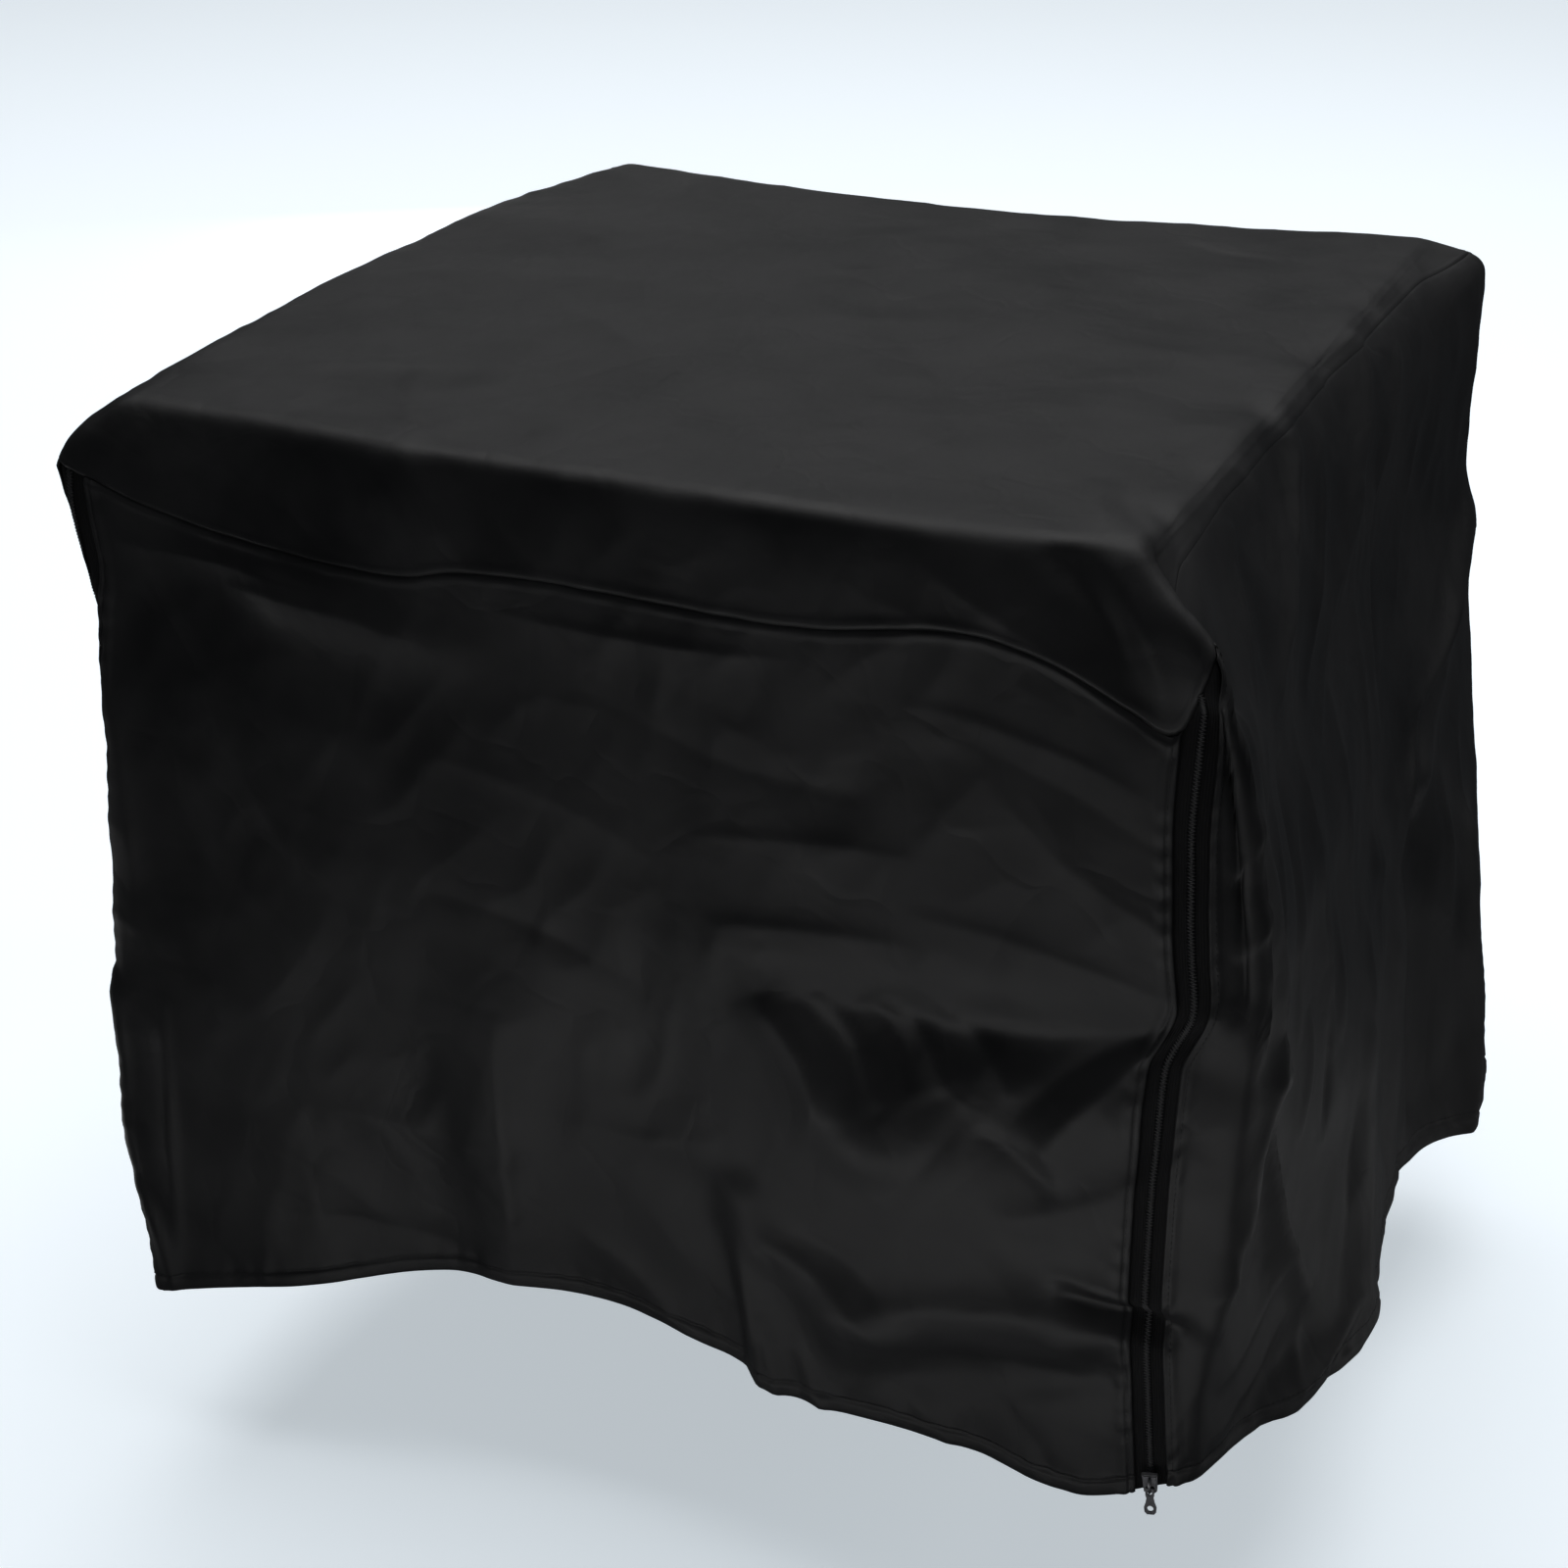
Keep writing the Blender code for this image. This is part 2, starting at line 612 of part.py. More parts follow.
def pull_curve(name):
    """The pull: a flat plate with a slot for the bridge and an eye at its free end. Local Y points up."""
    curve = bpy.data.curves.new(name, "CURVE")
    curve.dimensions = "2D"
    curve.fill_mode = "BOTH"
    curve.extrude = PULL_PLATE / 2
    right = [(waist.half_width * PULL_WIDTH, -waist.along * PULL_LENGTH) for waist in PULL_OUTLINE]
    add_ring(curve, right + [(-x, y) for x, y in reversed(right)])
    for hole in PULL_HOLES:
        angles = [-2 * math.pi * step / HOLE_SIDES for step in range(HOLE_SIDES)]
        ring = [
            (
                hole.half_width * PULL_WIDTH * math.cos(angle),
                (hole.half_height * math.sin(angle) - hole.middle) * PULL_LENGTH,
            )
            for angle in angles
        ]
        add_ring(curve, ring)
    return curve


def frame_on_zip(zip_line, level):
    """World matrix of a spot on a zip's middle: X across it, Y out of the cover, Z up the zip."""
    level = np.array([level])
    level_above = level - 0.15
    place = zip_line(level, 0)
    at = drape(place, level)[0]
    up = Vector(drape(zip_line(level_above, 0), level_above)[0] - at).normalized()
    across = Vector(outward(place, level)[0]).cross(up).normalized()
    out = up.cross(across)
    matrix = Matrix((across, out, up)).transposed().to_4x4()
    matrix.translation = Vector(at)
    return matrix


def height_under_slider(tape, seat):
    """How far the outer face of a zip stands out from its frame, at most, under the slider."""
    graph = bpy.context.evaluated_depsgraph_get()
    tree = BVHTree.FromObject(tape, graph)
    above = 5 * ZIP_WIDTH
    inward = seat.to_3x3() @ Vector((0, -1, 0))
    heights = []
    for across in np.linspace(-0.5, 0.5, 9):
        for up in np.linspace(-0.5, 0.5, 9):
            start = seat @ Vector((across * SLIDER_WIDTH, above, up * SLIDER_LENGTH))
            _, _, _, distance = tree.ray_cast(start, inward)
            if distance is not None:
                heights.append(above - distance)
    return max(heights)


def build_zip(side, zip_line, collection, tools):
    tape_name = side + "_zip_tape"
    tape = sheet(tape_name, ZIP_GRID, zip_surface(zip_line), TAPE, black_tape(tape_name), collection)

    seat = frame_on_zip(zip_line, SLIDER_LEVEL)
    stand_off = height_under_slider(tape, seat) + RUNNING_GAP
    slider_name = side + "_zip_slider"
    slider = add_object(slider_name, slider_mesh(slider_name), dark_metal(slider_name), collection)
    slider.matrix_world = seat @ Matrix.Translation((0, stand_off, 0))
    bridge_name = side + "_bridge"
    bridge = add_object(bridge_name, bridge_mesh(bridge_name), dark_metal(bridge_name), tools)
    bridge.matrix_world = slider.matrix_world
    bridge.hide_render = True
    bridge.display_type = "WIRE"
    join = slider.modifiers.new("Bridge", "BOOLEAN")
    join.operation = "UNION"
    join.object = bridge

    # The pull's plate lies on the slider's face, with its top bar under the bridge.
    pull_name = side + "_zip_pull"
    pull = add_object(pull_name, pull_curve(pull_name), dark_metal(pull_name), collection)
    plate_middle = SLIDER_BODY + RUNNING_GAP + PULL_PLATE / 2
    upright = Matrix.Rotation(math.pi / 2, 4, "X")
    pull.matrix_world = slider.matrix_world @ Matrix.Translation((0, plate_middle, PULL_TOP)) @ upright


def main():
    clear_scene()
    collection = bpy.data.collections.new("bird_cage_cover")
    tools = bpy.data.collections.new("tools")
    bpy.context.scene.collection.children.link(collection)
    bpy.context.scene.collection.children.link(tools)
    build_panels(collection)
    build_zip("right", right_zip_place, collection, tools)
    build_zip("left", left_zip_place, collection, tools)


main()
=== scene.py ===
# %% [markdown]
# # A fitted cover for a square bird cage
#
# The cover is thin black polyester. It falls over a cage that is not shown, so it has to look as if
# something square still holds it up from inside. Five panels are sewn together: a flat top that turns
# down over the front as a band, and four walls. A coil zip closes each front corner.
#
# The measured model is loaded here as a fixed frame, and every fine piece below is made in the same space
# and then stands for one of its nodes.

# %% Load the frame and keep its box
import math
from collections import namedtuple

import bmesh
import bpy
import numpy as np
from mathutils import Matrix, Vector, noise


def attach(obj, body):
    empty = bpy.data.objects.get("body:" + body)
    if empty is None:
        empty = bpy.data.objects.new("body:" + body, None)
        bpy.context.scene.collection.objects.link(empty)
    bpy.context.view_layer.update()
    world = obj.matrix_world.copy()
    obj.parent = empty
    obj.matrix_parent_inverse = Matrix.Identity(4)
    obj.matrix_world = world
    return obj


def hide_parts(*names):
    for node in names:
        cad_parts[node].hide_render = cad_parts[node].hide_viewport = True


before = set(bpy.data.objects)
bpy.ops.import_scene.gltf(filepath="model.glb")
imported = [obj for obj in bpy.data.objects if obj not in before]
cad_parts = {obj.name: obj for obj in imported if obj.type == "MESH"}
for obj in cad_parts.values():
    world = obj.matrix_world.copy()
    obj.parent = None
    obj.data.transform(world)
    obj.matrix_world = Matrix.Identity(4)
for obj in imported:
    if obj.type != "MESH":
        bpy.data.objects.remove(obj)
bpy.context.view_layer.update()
for name in sorted(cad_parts):
    print("node", name)

MM = 0.001
root = "root"


def new_object(name, data):
    """An object of this data, linked into the scene."""
    made = bpy.data.objects.new(name, data)
    bpy.context.scene.collection.objects.link(made)
    return made


# %% [markdown]
# ## Camera
#
# The cover is seen from its front right corner and from a little above, so the top, the front and the
# right side all show. The camera stands well back with a long lens, which keeps the upright corners
# nearly parallel. Its place is given from the frame's origin, under the middle of the top panel.

# %% Camera
CAMERA_PLACE = (0.52092, -1.22472, 0.37928)
CAMERA_TURN = 24
CAMERA_DIP = 25
LENS = 67.5
SENSOR_WIDTH = 36

camera_data = bpy.data.cameras.new("camera")
camera_data.lens = LENS
camera_data.sensor_width = SENSOR_WIDTH
camera = new_object("camera", camera_data)
camera.location = CAMERA_PLACE
camera.rotation_euler = (math.radians(90 - CAMERA_DIP), 0, math.radians(CAMERA_TURN))
bpy.context.scene.camera = camera
print("camera", round(camera.location.length, 3), "m from the origin")


# %% [markdown]
# ## Node trees as sums
#
# Materials below are written as sums. `Wire` wraps one socket, and its operators add Math nodes, so
# that `0.5 + 0.1 * grain` reads as it would on paper. `Tree` wraps a node tree, and its `node` method
# makes every other kind of node: first the node's settings, then the values or wires that feed its
# sockets. `Finish` is the tree of one material. A colour never goes through a Math node, which would
# turn it grey.

# %% Wires, trees and finishes
class Wire:
    def __init__(self, tree, socket):
        self.tree = tree
        self.socket = socket

    def maths(self, operation, *others):
        values = dict(enumerate((self, *others)))
        return self.tree.node("ShaderNodeMath", {"operation": operation}, values)

    def waves(self, pitch):
        """A sine wave that repeats every pitch metres."""
        return (self * (2 * math.pi / pitch)).maths("SINE")

    def __add__(self, other):
        return self.maths("ADD", other)

    def __sub__(self, other):
        return self.maths("SUBTRACT", other)

    def __mul__(self, other):
        return self.maths("MULTIPLY", other)

    def __truediv__(self, other):
        return self.maths("DIVIDE", other)

    __radd__ = __add__
    __rmul__ = __mul__


class Tree:
    def __init__(self, tree):
        self.tree = tree

    def node(self, kind, settings=None, inputs=None, output=0):
        made = self.tree.nodes.new(kind)
        for setting, value in (settings or {}).items():
            setattr(made, setting, value)
        for key, value in (inputs or {}).items():
            self.feed(made.inputs[key], value)
        return Wire(self, made.outputs[output])

    def feed(self, socket, value):
        if isinstance(value, Wire):
            self.tree.links.new(value.socket, socket)
        else:
            socket.default_value = value


class Finish(Tree):
    def __init__(self, name):
        self.material = bpy.data.materials.new(name)
        self.material.use_nodes = True
        super().__init__(self.material.node_tree)
        self.shader = self.tree.nodes["Principled BSDF"]

    def principled(self, **values):
        for words, value in values.items():
            self.feed(self.shader.inputs[words.replace("_", " ").title().replace("Ior", "IOR")], value)
        return self.material

    def mixed(self, share, first, second):
        """A colour between two others."""
        inputs = {"Factor": share, 6: (*first, 1), 7: (*second, 1)}
        return self.node("ShaderNodeMix", {"data_type": "RGBA"}, inputs, output=2)

    def noise(self, place, scale, detail):
        return self.node("ShaderNodeTexNoise", inputs={"Vector": place, "Scale": scale, "Detail": detail})

    def bumped(self, height, distance, strength):
        inputs = {"Height": height, "Distance": distance, "Strength": strength}
        return self.node("ShaderNodeBump", inputs=inputs)

    def place(self):
        """Where a point is on the object, in metres."""
        return self.node("ShaderNodeTexCoord", output="Object")

    def on_cloth(self):
        """Where a point is on the flat cloth, in metres: both axes in one, then across and down alone."""
        both = self.node("ShaderNodeUVMap", {"uv_map": "cloth"})
        across, down = (self.node("ShaderNodeSeparateXYZ", inputs={0: both}, output=axis) for axis in "XY")
        return both, across, down


print("node helpers ready")


# %% [markdown]
# ## Black polyester
#
# The cloth is a plain weave so fine that only its satin gloss shows from a step away. Its colour is
# nearly flat, and what the eye reads is gloss: handling leaves it a little duller in some places and
# shinier in others. The weave is a product of two sine waves, one across and one down the cloth, read
# from the UV map, which holds metres of cloth. Coated polyester also crackles: where it was crumpled it
# keeps fine straight creases with flat facets between them. The edges between Voronoi cells are like
# that, once the cells are drawn out along the pull of the cloth.

# %% Cloth finish
THREAD_PITCH = 0.55 * MM
# Scale and detail of each noise
PATCHES = (15.0, 4.0)
CRUMPLE = (55.0, 5.0)
GRAIN = (900.0, 2.0)
WANDER = (14.0, 3.0)
# The patch noise at which the cloth starts to look worn, and how fast it wears above that
WEAR_START = 0.38
WEAR_RATE = 4.0
FRESH_BLACK = (0.0055, 0.0056, 0.0060)
WORN_BLACK = (0.0140, 0.0140, 0.0146)
# The crackle's scale, its scale down the cloth as a share of that, and the part of a cell that is edge
CRACKLE = 26
CRACKLE_DOWN = 0.55
CRACKLE_WIDTH = 0.11
# How far noise bends the crackle across and down the cloth, in metres
BENT_ACROSS = 0.05
BENT_DOWN = 0.08
BUMP_DISTANCE = 1.0 * MM


def crackle(finish, on_cloth, across, down):
    """Flat facets at 1 that fall to 0 at the fine creases between them."""
    wander = finish.noise(on_cloth, *WANDER)
    bent = {"X": across + BENT_ACROSS * wander, "Y": down * CRACKLE_DOWN + BENT_DOWN * wander}
    bent = finish.node("ShaderNodeCombineXYZ", inputs=bent)
    inputs = {"Vector": bent, "Scale": CRACKLE, "Randomness": 1.0}
    cells = finish.node("ShaderNodeTexVoronoi", {"feature": "DISTANCE_TO_EDGE"}, inputs)
    return (cells / CRACKLE_WIDTH).maths("MINIMUM", 1.0)


def cloth_finish(name):
    finish = Finish(name)
    on_cloth, across, down = finish.on_cloth()
    place = finish.place()
    weave = across.waves(THREAD_PITCH) * down.waves(THREAD_PITCH)
    patches = finish.noise(place, *PATCHES)
    wear = ((patches - WEAR_START) * WEAR_RATE).maths("MAXIMUM", 0.0).maths("MINIMUM", 1.0)
    grain = finish.noise(on_cloth, *GRAIN)
    crumple = finish.noise(place, *CRUMPLE)
    facets = crackle(finish, on_cloth, across, down) * (patches * 0.5)
    return finish.principled(
        base_color=finish.mixed(wear, FRESH_BLACK, WORN_BLACK),
        roughness=0.42 + 0.12 * wear + 0.06 * grain,
        normal=finish.bumped(weave * 0.03 + grain * 0.04 + crumple * 0.8 + facets, BUMP_DISTANCE, 0.5),
        specular_ior_level=0.22,
    )


cloth = cloth_finish("black_polyester")
print("cloth finish ready")


# %% [markdown]
# ## The draped surface
#
# Every panel lies on one surface, so that neighbours meet whatever the folds do. A point on it is named
# the way a sewer would name it. `place` goes once round the cover, seen from above against the clock:
# 0 is the front left corner, 2 the front right, 4 the back right and 6 the back left. `level` goes down:
# -1 is the middle of the roof, 0 its edge, and 1 to 5 are the rows in `LEVELS`, with the hem at 5.
#
# The tables say what the cloth does in hand sizes: where each corner's ridge hangs, how far each wall
# stands out between its corners, and how deep the front band hangs. They are the same sizes as the
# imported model's, in the same frame.

# %% The surface's tables
def table(kind, *rows):
    """Rows of numbers with named columns."""
    return tuple(kind(*row) for row in rows)


ROOF_HALF_WIDTH = 228 * MM
ROOF_HALF_DEPTH = 240 * MM
LEVELS = ("roof", "shoulder", "upper", "middle", "lower", "hem")
# Length of cloth from the roof's edge down to each level, in mm: the scale that folds are placed on
LEVEL_LENGTH = (0, 50, 130, 235, 345, 465)
HEM = len(LEVELS) - 1

# Where each corner's ridge runs, level by level, in mm from the roof's corner: how far it stands out
# sideways, how far it stands out to the front or the back, and how far down it is.
Corner = namedtuple("Corner", "sideways endways down")
CORNERS = {
    "front_left": ((0, 0, 0), (25, 16, 30), (13, 15, 112), (19, 15, 215), (26, 15, 330), (18, 15, 452)),
    "front_right": ((0, 0, 0), (36, 15, 38), (51, 11, 110), (58, 8, 190), (50, 4, 300), (42, -6, 417)),
    "back_right": ((-7, 10, 0), (23, 22, 15), (24, 14, 100), (37, 10, 215), (54, 4, 330), (73, -14, 455)),
    "back_left": ((-6, -8, 0), (16, 14, 16), (15, 13, 100), (17, 13, 215), (21, 13, 330), (24, 12, 446)),
}
CORNER_NAMES = tuple(CORNERS)
# Which way is out at each corner, along X and along Y
CORNER_WAYS = {"front_left": (-1, -1), "front_right": (1, -1), "back_right": (1, 1), "back_left": (-1, 1)}

# How far each wall stands out, in mm, from the straight line between its two corners, level by level,
# and how far its shoulder and its hem are raised above that line.
Bulge = namedtuple("Bulge", ("place",) + LEVELS + ("shoulder_raised", "hem_raised"))
BULGES = table(
    Bulge,
    (0.30, 3, -4, -6, -5, -4, -3, -16, 15),
    (0.65, 8, -4, -8, -8, -14, -22, -20, 29),
    (0.95, 10, -4, -8, -8, -14, -19, -17, 25),
    (1.22, 11, -4, -5, -4, -6, -7, -16, 9),
    (1.40, 11, -4, -5, -4, 0, 0, -14, 2),
    (1.60, 10, -4, -3, -2, 2, -3, -8, -6),
    (1.80, 6, -3, -1, 0, 3, 5, -6, -14),
    (2.20, 0, -14, -8, -2, 6, 9, -4, 3),
    (2.42, 0, -20, -14, -4, 12, 21, -4, 6),
    (2.63, 0, -20, -17, -6, 14, 27, -6, 9),
    (2.85, 0, -19, -18, -8, 10, 19, -8, 14),
    (3.12, 0, -18, -18, -12, -2, 2, -8, 21),
    (3.35, 0, -16, -18, -14, -4, 4, -8, 17),
    (3.65, 0, -12, -12, -6, 4, 15, -6, 8),
    (4.50, -16, -12, -10, -6, -6, -8, 0, 10),
    (5.00, -28, -18, -10, -4, -10, -14, 0, 16),
    (5.50, -20, -12, -10, -6, -4, -6, 0, 8),
    (6.50, 22, -4, -8, -6, -4, 6, -6, 8),
    (7.00, 21, -3, -10, -8, -8, -4, -8, 16),
    (7.50, 14, -4, -8, -4, 4, 8, -8, 10),
)

# The seam under the top panel. In front it hangs a band's depth below the roof, and along the sides
# it follows the roof's edge.
Seam = namedtuple("Seam", "place level")
SEAM = table(
    Seam,
    # Front
    (0.00, 0.95), (0.25, 1.05), (0.60, 1.10), (0.80, 0.95), (1.30, 1.00), (1.60, 0.92),
    (1.74, 1.05), (1.84, 1.30), (1.90, 1.42), (1.97, 1.10),
    # Right
    (2.04, 0.66), (2.12, 0.32), (2.35, 0.26), (3.00, 0.26), (3.70, 0.34),
    # Back
    (4.00, 0.60), (4.20, 0.55), (5.00, 0.50), (5.80, 0.55),
    # Left
    (6.00, 0.55), (6.25, 0.34), (7.00, 0.26), (7.70, 0.32), (7.92, 0.62),
)

# The middle of each zip: how far it lies in front of its corner, in mm, level by level
ZipRun = namedtuple("ZipRun", "level from_corner")
RIGHT_ZIP = table(
    ZipRun, (0.5, 8), (1, 8), (1.4, 15), (2, 23), (2.6, 25), (2.84, 24), (3.15, 34), (4, 29), (5, 17)
)
LEFT_ZIP = table(ZipRun, (0.5, 8), (1, 7), (1.5, 1), (2, -9), (2.5, -13), (3, -14), (4, -14), (5, -13))
print(len(BULGES), "bulges,", len(SEAM), "points on the seam")


# %% [markdown]
# Smooth curves run through those tables, with each slope taken from its neighbours and no overshoot. A
# wall is a straight span between its two corner ridges, pushed out by its bulges. That first surface has
# sharp edges, so each point is then averaged with a few neighbours, which rounds the roof's edge and the
# corners to the radius of bent cloth.

# %% The surface's functions
SIDES = ("front", "right", "back", "left")
OUTWARD = {"front": (0, -1), "right": (1, 0), "back": (0, 1), "left": (-1, 0)}
ROUND = 2 * len(SIDES)
PLACE_LENGTH = 255
ROUNDING = 4.5
SMOOTHING = (1, 4, 6, 4, 1)
DRAWN_TOGETHER = 40
STEP_PLACE = 0.02
STEP_LEVEL = 0.04
TINY = 1e-9


def smooth_curve(known_at, values, wanted):
    """Cubic curve through the values, with each slope taken from its neighbours and no overshoot."""
    known_at = np.asarray(known_at, float)
    values = np.asarray(values, float)
    steps = np.diff(known_at)
    rises = np.diff(values) / steps
    slopes = np.empty_like(values)
    slopes[0] = rises[0]
    slopes[-1] = rises[-1]
    before, after = rises[:-1], rises[1:]
    same_way = before * after > 0
    slopes[1:-1] = np.where(same_way, 2 * before * after / np.where(same_way, before + after, 1), 0)
    wanted = np.clip(wanted, known_at[0], known_at[-1])
    piece = np.clip(np.searchsorted(known_at, wanted, side="right") - 1, 0, len(steps) - 1)
    width = steps[piece]
    part = (wanted - known_at[piece]) / width
    return (
        values[piece] * (1 + 2 * part) * (1 - part) ** 2
        + slopes[piece] * width * part * (1 - part) ** 2
        + values[piece + 1] * part**2 * (3 - 2 * part)
        + slopes[piece + 1] * width * part**2 * (part - 1)
    )


def seam_level(place):
    """Level of the seam under the top panel, as a closed curve round the cover."""
    places = [row.place + turn for turn in (-ROUND, 0, ROUND) for row in SEAM]
    return smooth_curve(places, [row.level for row in SEAM] * 3, np.mod(place, ROUND))


def corner_ridge(name, level):
    """Points of a corner's ridge, in metres."""
    x_way, y_way = CORNER_WAYS[name]
    ridge_at = Corner(*(smooth_curve(range(len(LEVELS)), column, level) for column in zip(*CORNERS[name])))
    return np.stack(
        (
            x_way * (ROOF_HALF_WIDTH + ridge_at.sideways * MM),
            y_way * (ROOF_HALF_DEPTH + ridge_at.endways * MM),
            -ridge_at.down * MM,
        ),
        axis=-1,
    )


def bulge_of(side, share, level):
    """How far a wall stands out and is raised beyond the line between its corners, in metres."""
    start = 2 * SIDES.index(side)
    rows = [row for row in BULGES if start < row.place < start + 2]
    shares = [0] + [(row.place - start) / 2 for row in rows] + [1]
    _, *columns = zip(*rows)
    here = [smooth_curve(shares, [0, *column, 0], share) for column in columns]
    *out_by_level, shoulder_raised, hem_raised = here
    out_by_level = np.stack(out_by_level)
    above = np.clip(np.floor(level).astype(int), 0, HEM - 1)
    part = np.clip(level - above, 0, 1)
    ease = part * part * (3 - 2 * part)
    out_above = np.take_along_axis(out_by_level, above[None], 0)[0]
    out_below = np.take_along_axis(out_by_level, above[None] + 1, 0)[0]
    out = out_above + (out_below - out_above) * ease
    at_shoulder = np.clip(level, 0, 1)
    to_hem = np.clip((level - 1) / (HEM - 1), 0, 1)
    raised = shoulder_raised * at_shoulder * (1 - to_hem) + hem_raised * to_hem
    return out * MM, raised * MM


def sharp_drape(place, level):
    """The draped surface before its edges are rounded: flat roof, upright walls, straight corners."""
    # Twice, since a place a hair below 0 first rounds up to ROUND itself.
    place = np.mod(np.mod(place, ROUND), ROUND)
    points = np.zeros(place.shape + (3,))
    wall_level = np.maximum(level, 0)
    for number, side in enumerate(SIDES):
        here = np.floor(place / 2).astype(int) == number
        if not here.any():
            continue
        share = place[here] / 2 - number
        down = wall_level[here]
        start = corner_ridge(CORNER_NAMES[number], down)
        end = corner_ridge(CORNER_NAMES[(number + 1) % len(SIDES)], down)
        out, raised = bulge_of(side, share, down)
        wall = start + (end - start) * share[:, None]
        wall += out[:, None] * np.array([*OUTWARD[side], 0])
        wall[:, 2] += raised
        points[here] = wall
    inside = np.minimum(level, 0) + 1
    points[..., :2] *= inside[..., None]
    return points


def level_length(level):
    """Length of cloth below the roof's edge, in mm. Above the edge it is below zero."""
    on_wall = np.interp(level, range(len(LEVELS)), LEVEL_LENGTH)
    return np.where(level < 0, level * ROOF_HALF_DEPTH / MM, on_wall)


def level_at(length):
    """The level at a length of cloth below the roof's edge, in mm."""
    on_wall = np.interp(length, LEVEL_LENGTH, range(len(LEVELS)))
    return np.where(length < 0, length * MM / ROOF_HALF_DEPTH, on_wall)


def rounded_drape(place, level):
    """The surface with its edges rounded, by averaging points a little way round each one."""
    points = 0
    total = sum(SMOOTHING) ** 2
    middle = len(SMOOTHING) // 2
    length = level_length(level)
    reach = ROUNDING * np.clip((LEVEL_LENGTH[HEM] - length) / DRAWN_TOGETHER, 0, 1)
    for i, weight_along in enumerate(SMOOTHING):
        moved_place = place + (i - middle) * ROUNDING / PLACE_LENGTH
        for j, weight_down in enumerate(SMOOTHING):
            moved_level = level_at(length + (j - middle) * reach)
            points = points + sharp_drape(moved_place, moved_level) * (weight_along * weight_down / total)
    return points


def outward(place, level):
    """Unit vectors that point out of the surface."""
    below = np.minimum(level + STEP_LEVEL, HEM)
    above = below - 2 * STEP_LEVEL
    around = rounded_drape(place + STEP_PLACE, level) - rounded_drape(place - STEP_PLACE, level)
    down = rounded_drape(place, below) - rounded_drape(place, above)
    normals = np.cross(down, around)
    lengths = np.linalg.norm(normals, axis=-1, keepdims=True)
    upright = np.array([0.0, 0.0, 1.0])
    return np.where(lengths > TINY, normals / np.maximum(lengths, TINY), upright)


print("surface ready, hem", LEVEL_LENGTH[HEM], "mm of cloth below the roof")


# %% [markdown]
# ## Folds
#
# Hanging cloth folds where it is pulled: from a corner, from a kink in the zip, or over an edge beneath.
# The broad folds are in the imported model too. Each is a straight ridge on the cloth, given by its two ends
# in cover coordinates, a half width and a height in millimetres. A height below zero is a hollow.

# %% Broad folds
# Both ends as place and mm below the roof, then the half width and the height in mm
Fold = namedtuple("Fold", "from_place from_down to_place to_down half_width height")
FOLDS = table(
    Fold,
    # Front: the band over the seam
    (0.62, 5, 0.80, 50, 13, 1.5),
    (1.87, 12, 1.87, 54, 12, -4),
    (0.40, 76, 0.66, 84, 13, 3),
    # Front: the claw folds beside the deep hollow that runs to the kink in the zip
    (1.24, 230, 1.41, 284, 14, 4),
    (1.40, 226, 1.90, 202, 20, -6),
    (1.92, 192, 1.72, 262, 13, 4),
    (1.34, 272, 1.50, 276, 22, 4),
    # Front: upright folds above the hem, and the pleat across the zip
    (0.74, 262, 0.72, 410, 24, 5),
    (1.19, 325, 1.25, 420, 13, 5),
    (1.12, 330, 1.16, 420, 14, -3),
    (1.25, 345, 1.46, 375, 14, 3),
    (1.40, 372, 1.80, 338, 18, 5),
    (1.48, 400, 1.82, 372, 14, -4),
    (1.78, 334, 1.94, 340, 12, -4),
    # Front right corner: the tuck under the shoulder and the hollow beside the zip
    (2.08, 18, 2.11, 56, 12, -5),
    (1.98, 62, 1.98, 174, 11, -6),
    # Right side: the ridge behind the corner and its fork
    (2.08, 70, 2.10, 215, 12, 4),
    (2.10, 225, 2.01, 330, 12, 3),
    (2.12, 225, 2.35, 356, 13, 3),
    (2.15, 262, 2.20, 330, 16, -3),
    # Right side: the long folds down to the hem
    (2.74, 290, 2.60, 395, 13, 3),
    (2.66, 408, 2.28, 420, 14, 4),
    (2.36, 385, 2.16, 402, 14, -3),
    (3.96, 143, 3.50, 240, 16, 6),
    (3.50, 242, 3.14, 246, 14, 3),
    (3.48, 262, 3.40, 400, 20, -6),
    (3.80, 300, 3.56, 450, 14, 6),
    (3.24, 300, 3.00, 460, 20, 5),
    (2.75, 20, 2.50, 100, 16, 2.5),
    (3.24, 10, 3.00, 90, 16, 2.5),
    # Left side and back
    (6.40, 60, 6.55, 450, 24, 6),
    (7.25, 160, 7.10, 450, 22, -7),
    (7.80, 120, 7.75, 430, 14, 5),
    (4.45, 80, 4.60, 450, 26, 7),
    (5.15, 200, 5.00, 450, 24, -7),
    (5.70, 100, 5.60, 440, 20, 5),
)

# Low wrinkles of the roof, in mm from its middle: both ends, then half width and height
Wrinkle = namedtuple("Wrinkle", "from_x from_y to_x to_y half_width height")
WRINKLES = table(
    Wrinkle,
    (-126, -160, -84, -238, 3, 0.7),
    (-98, -212, -56, -240, 3, -0.8),
    (188, -180, 216, -236, 6, 2.2),
    (200, -176, 224, -222, 5, -1.8),
    (110, 196, 160, 178, 4, 0.9),
    (118, 186, 160, 172, 4, -1.0),
    (-184, -171, -113, -139, 8, 1.2),
    (-136, -24, 25, -151, 9, 1.4),
    (0, 37, 115, -111, 9, -1.4),
    (30, 90, 130, -60, 18, 1.6),
    (-150, 120, -20, 60, 20, 1.6),
)


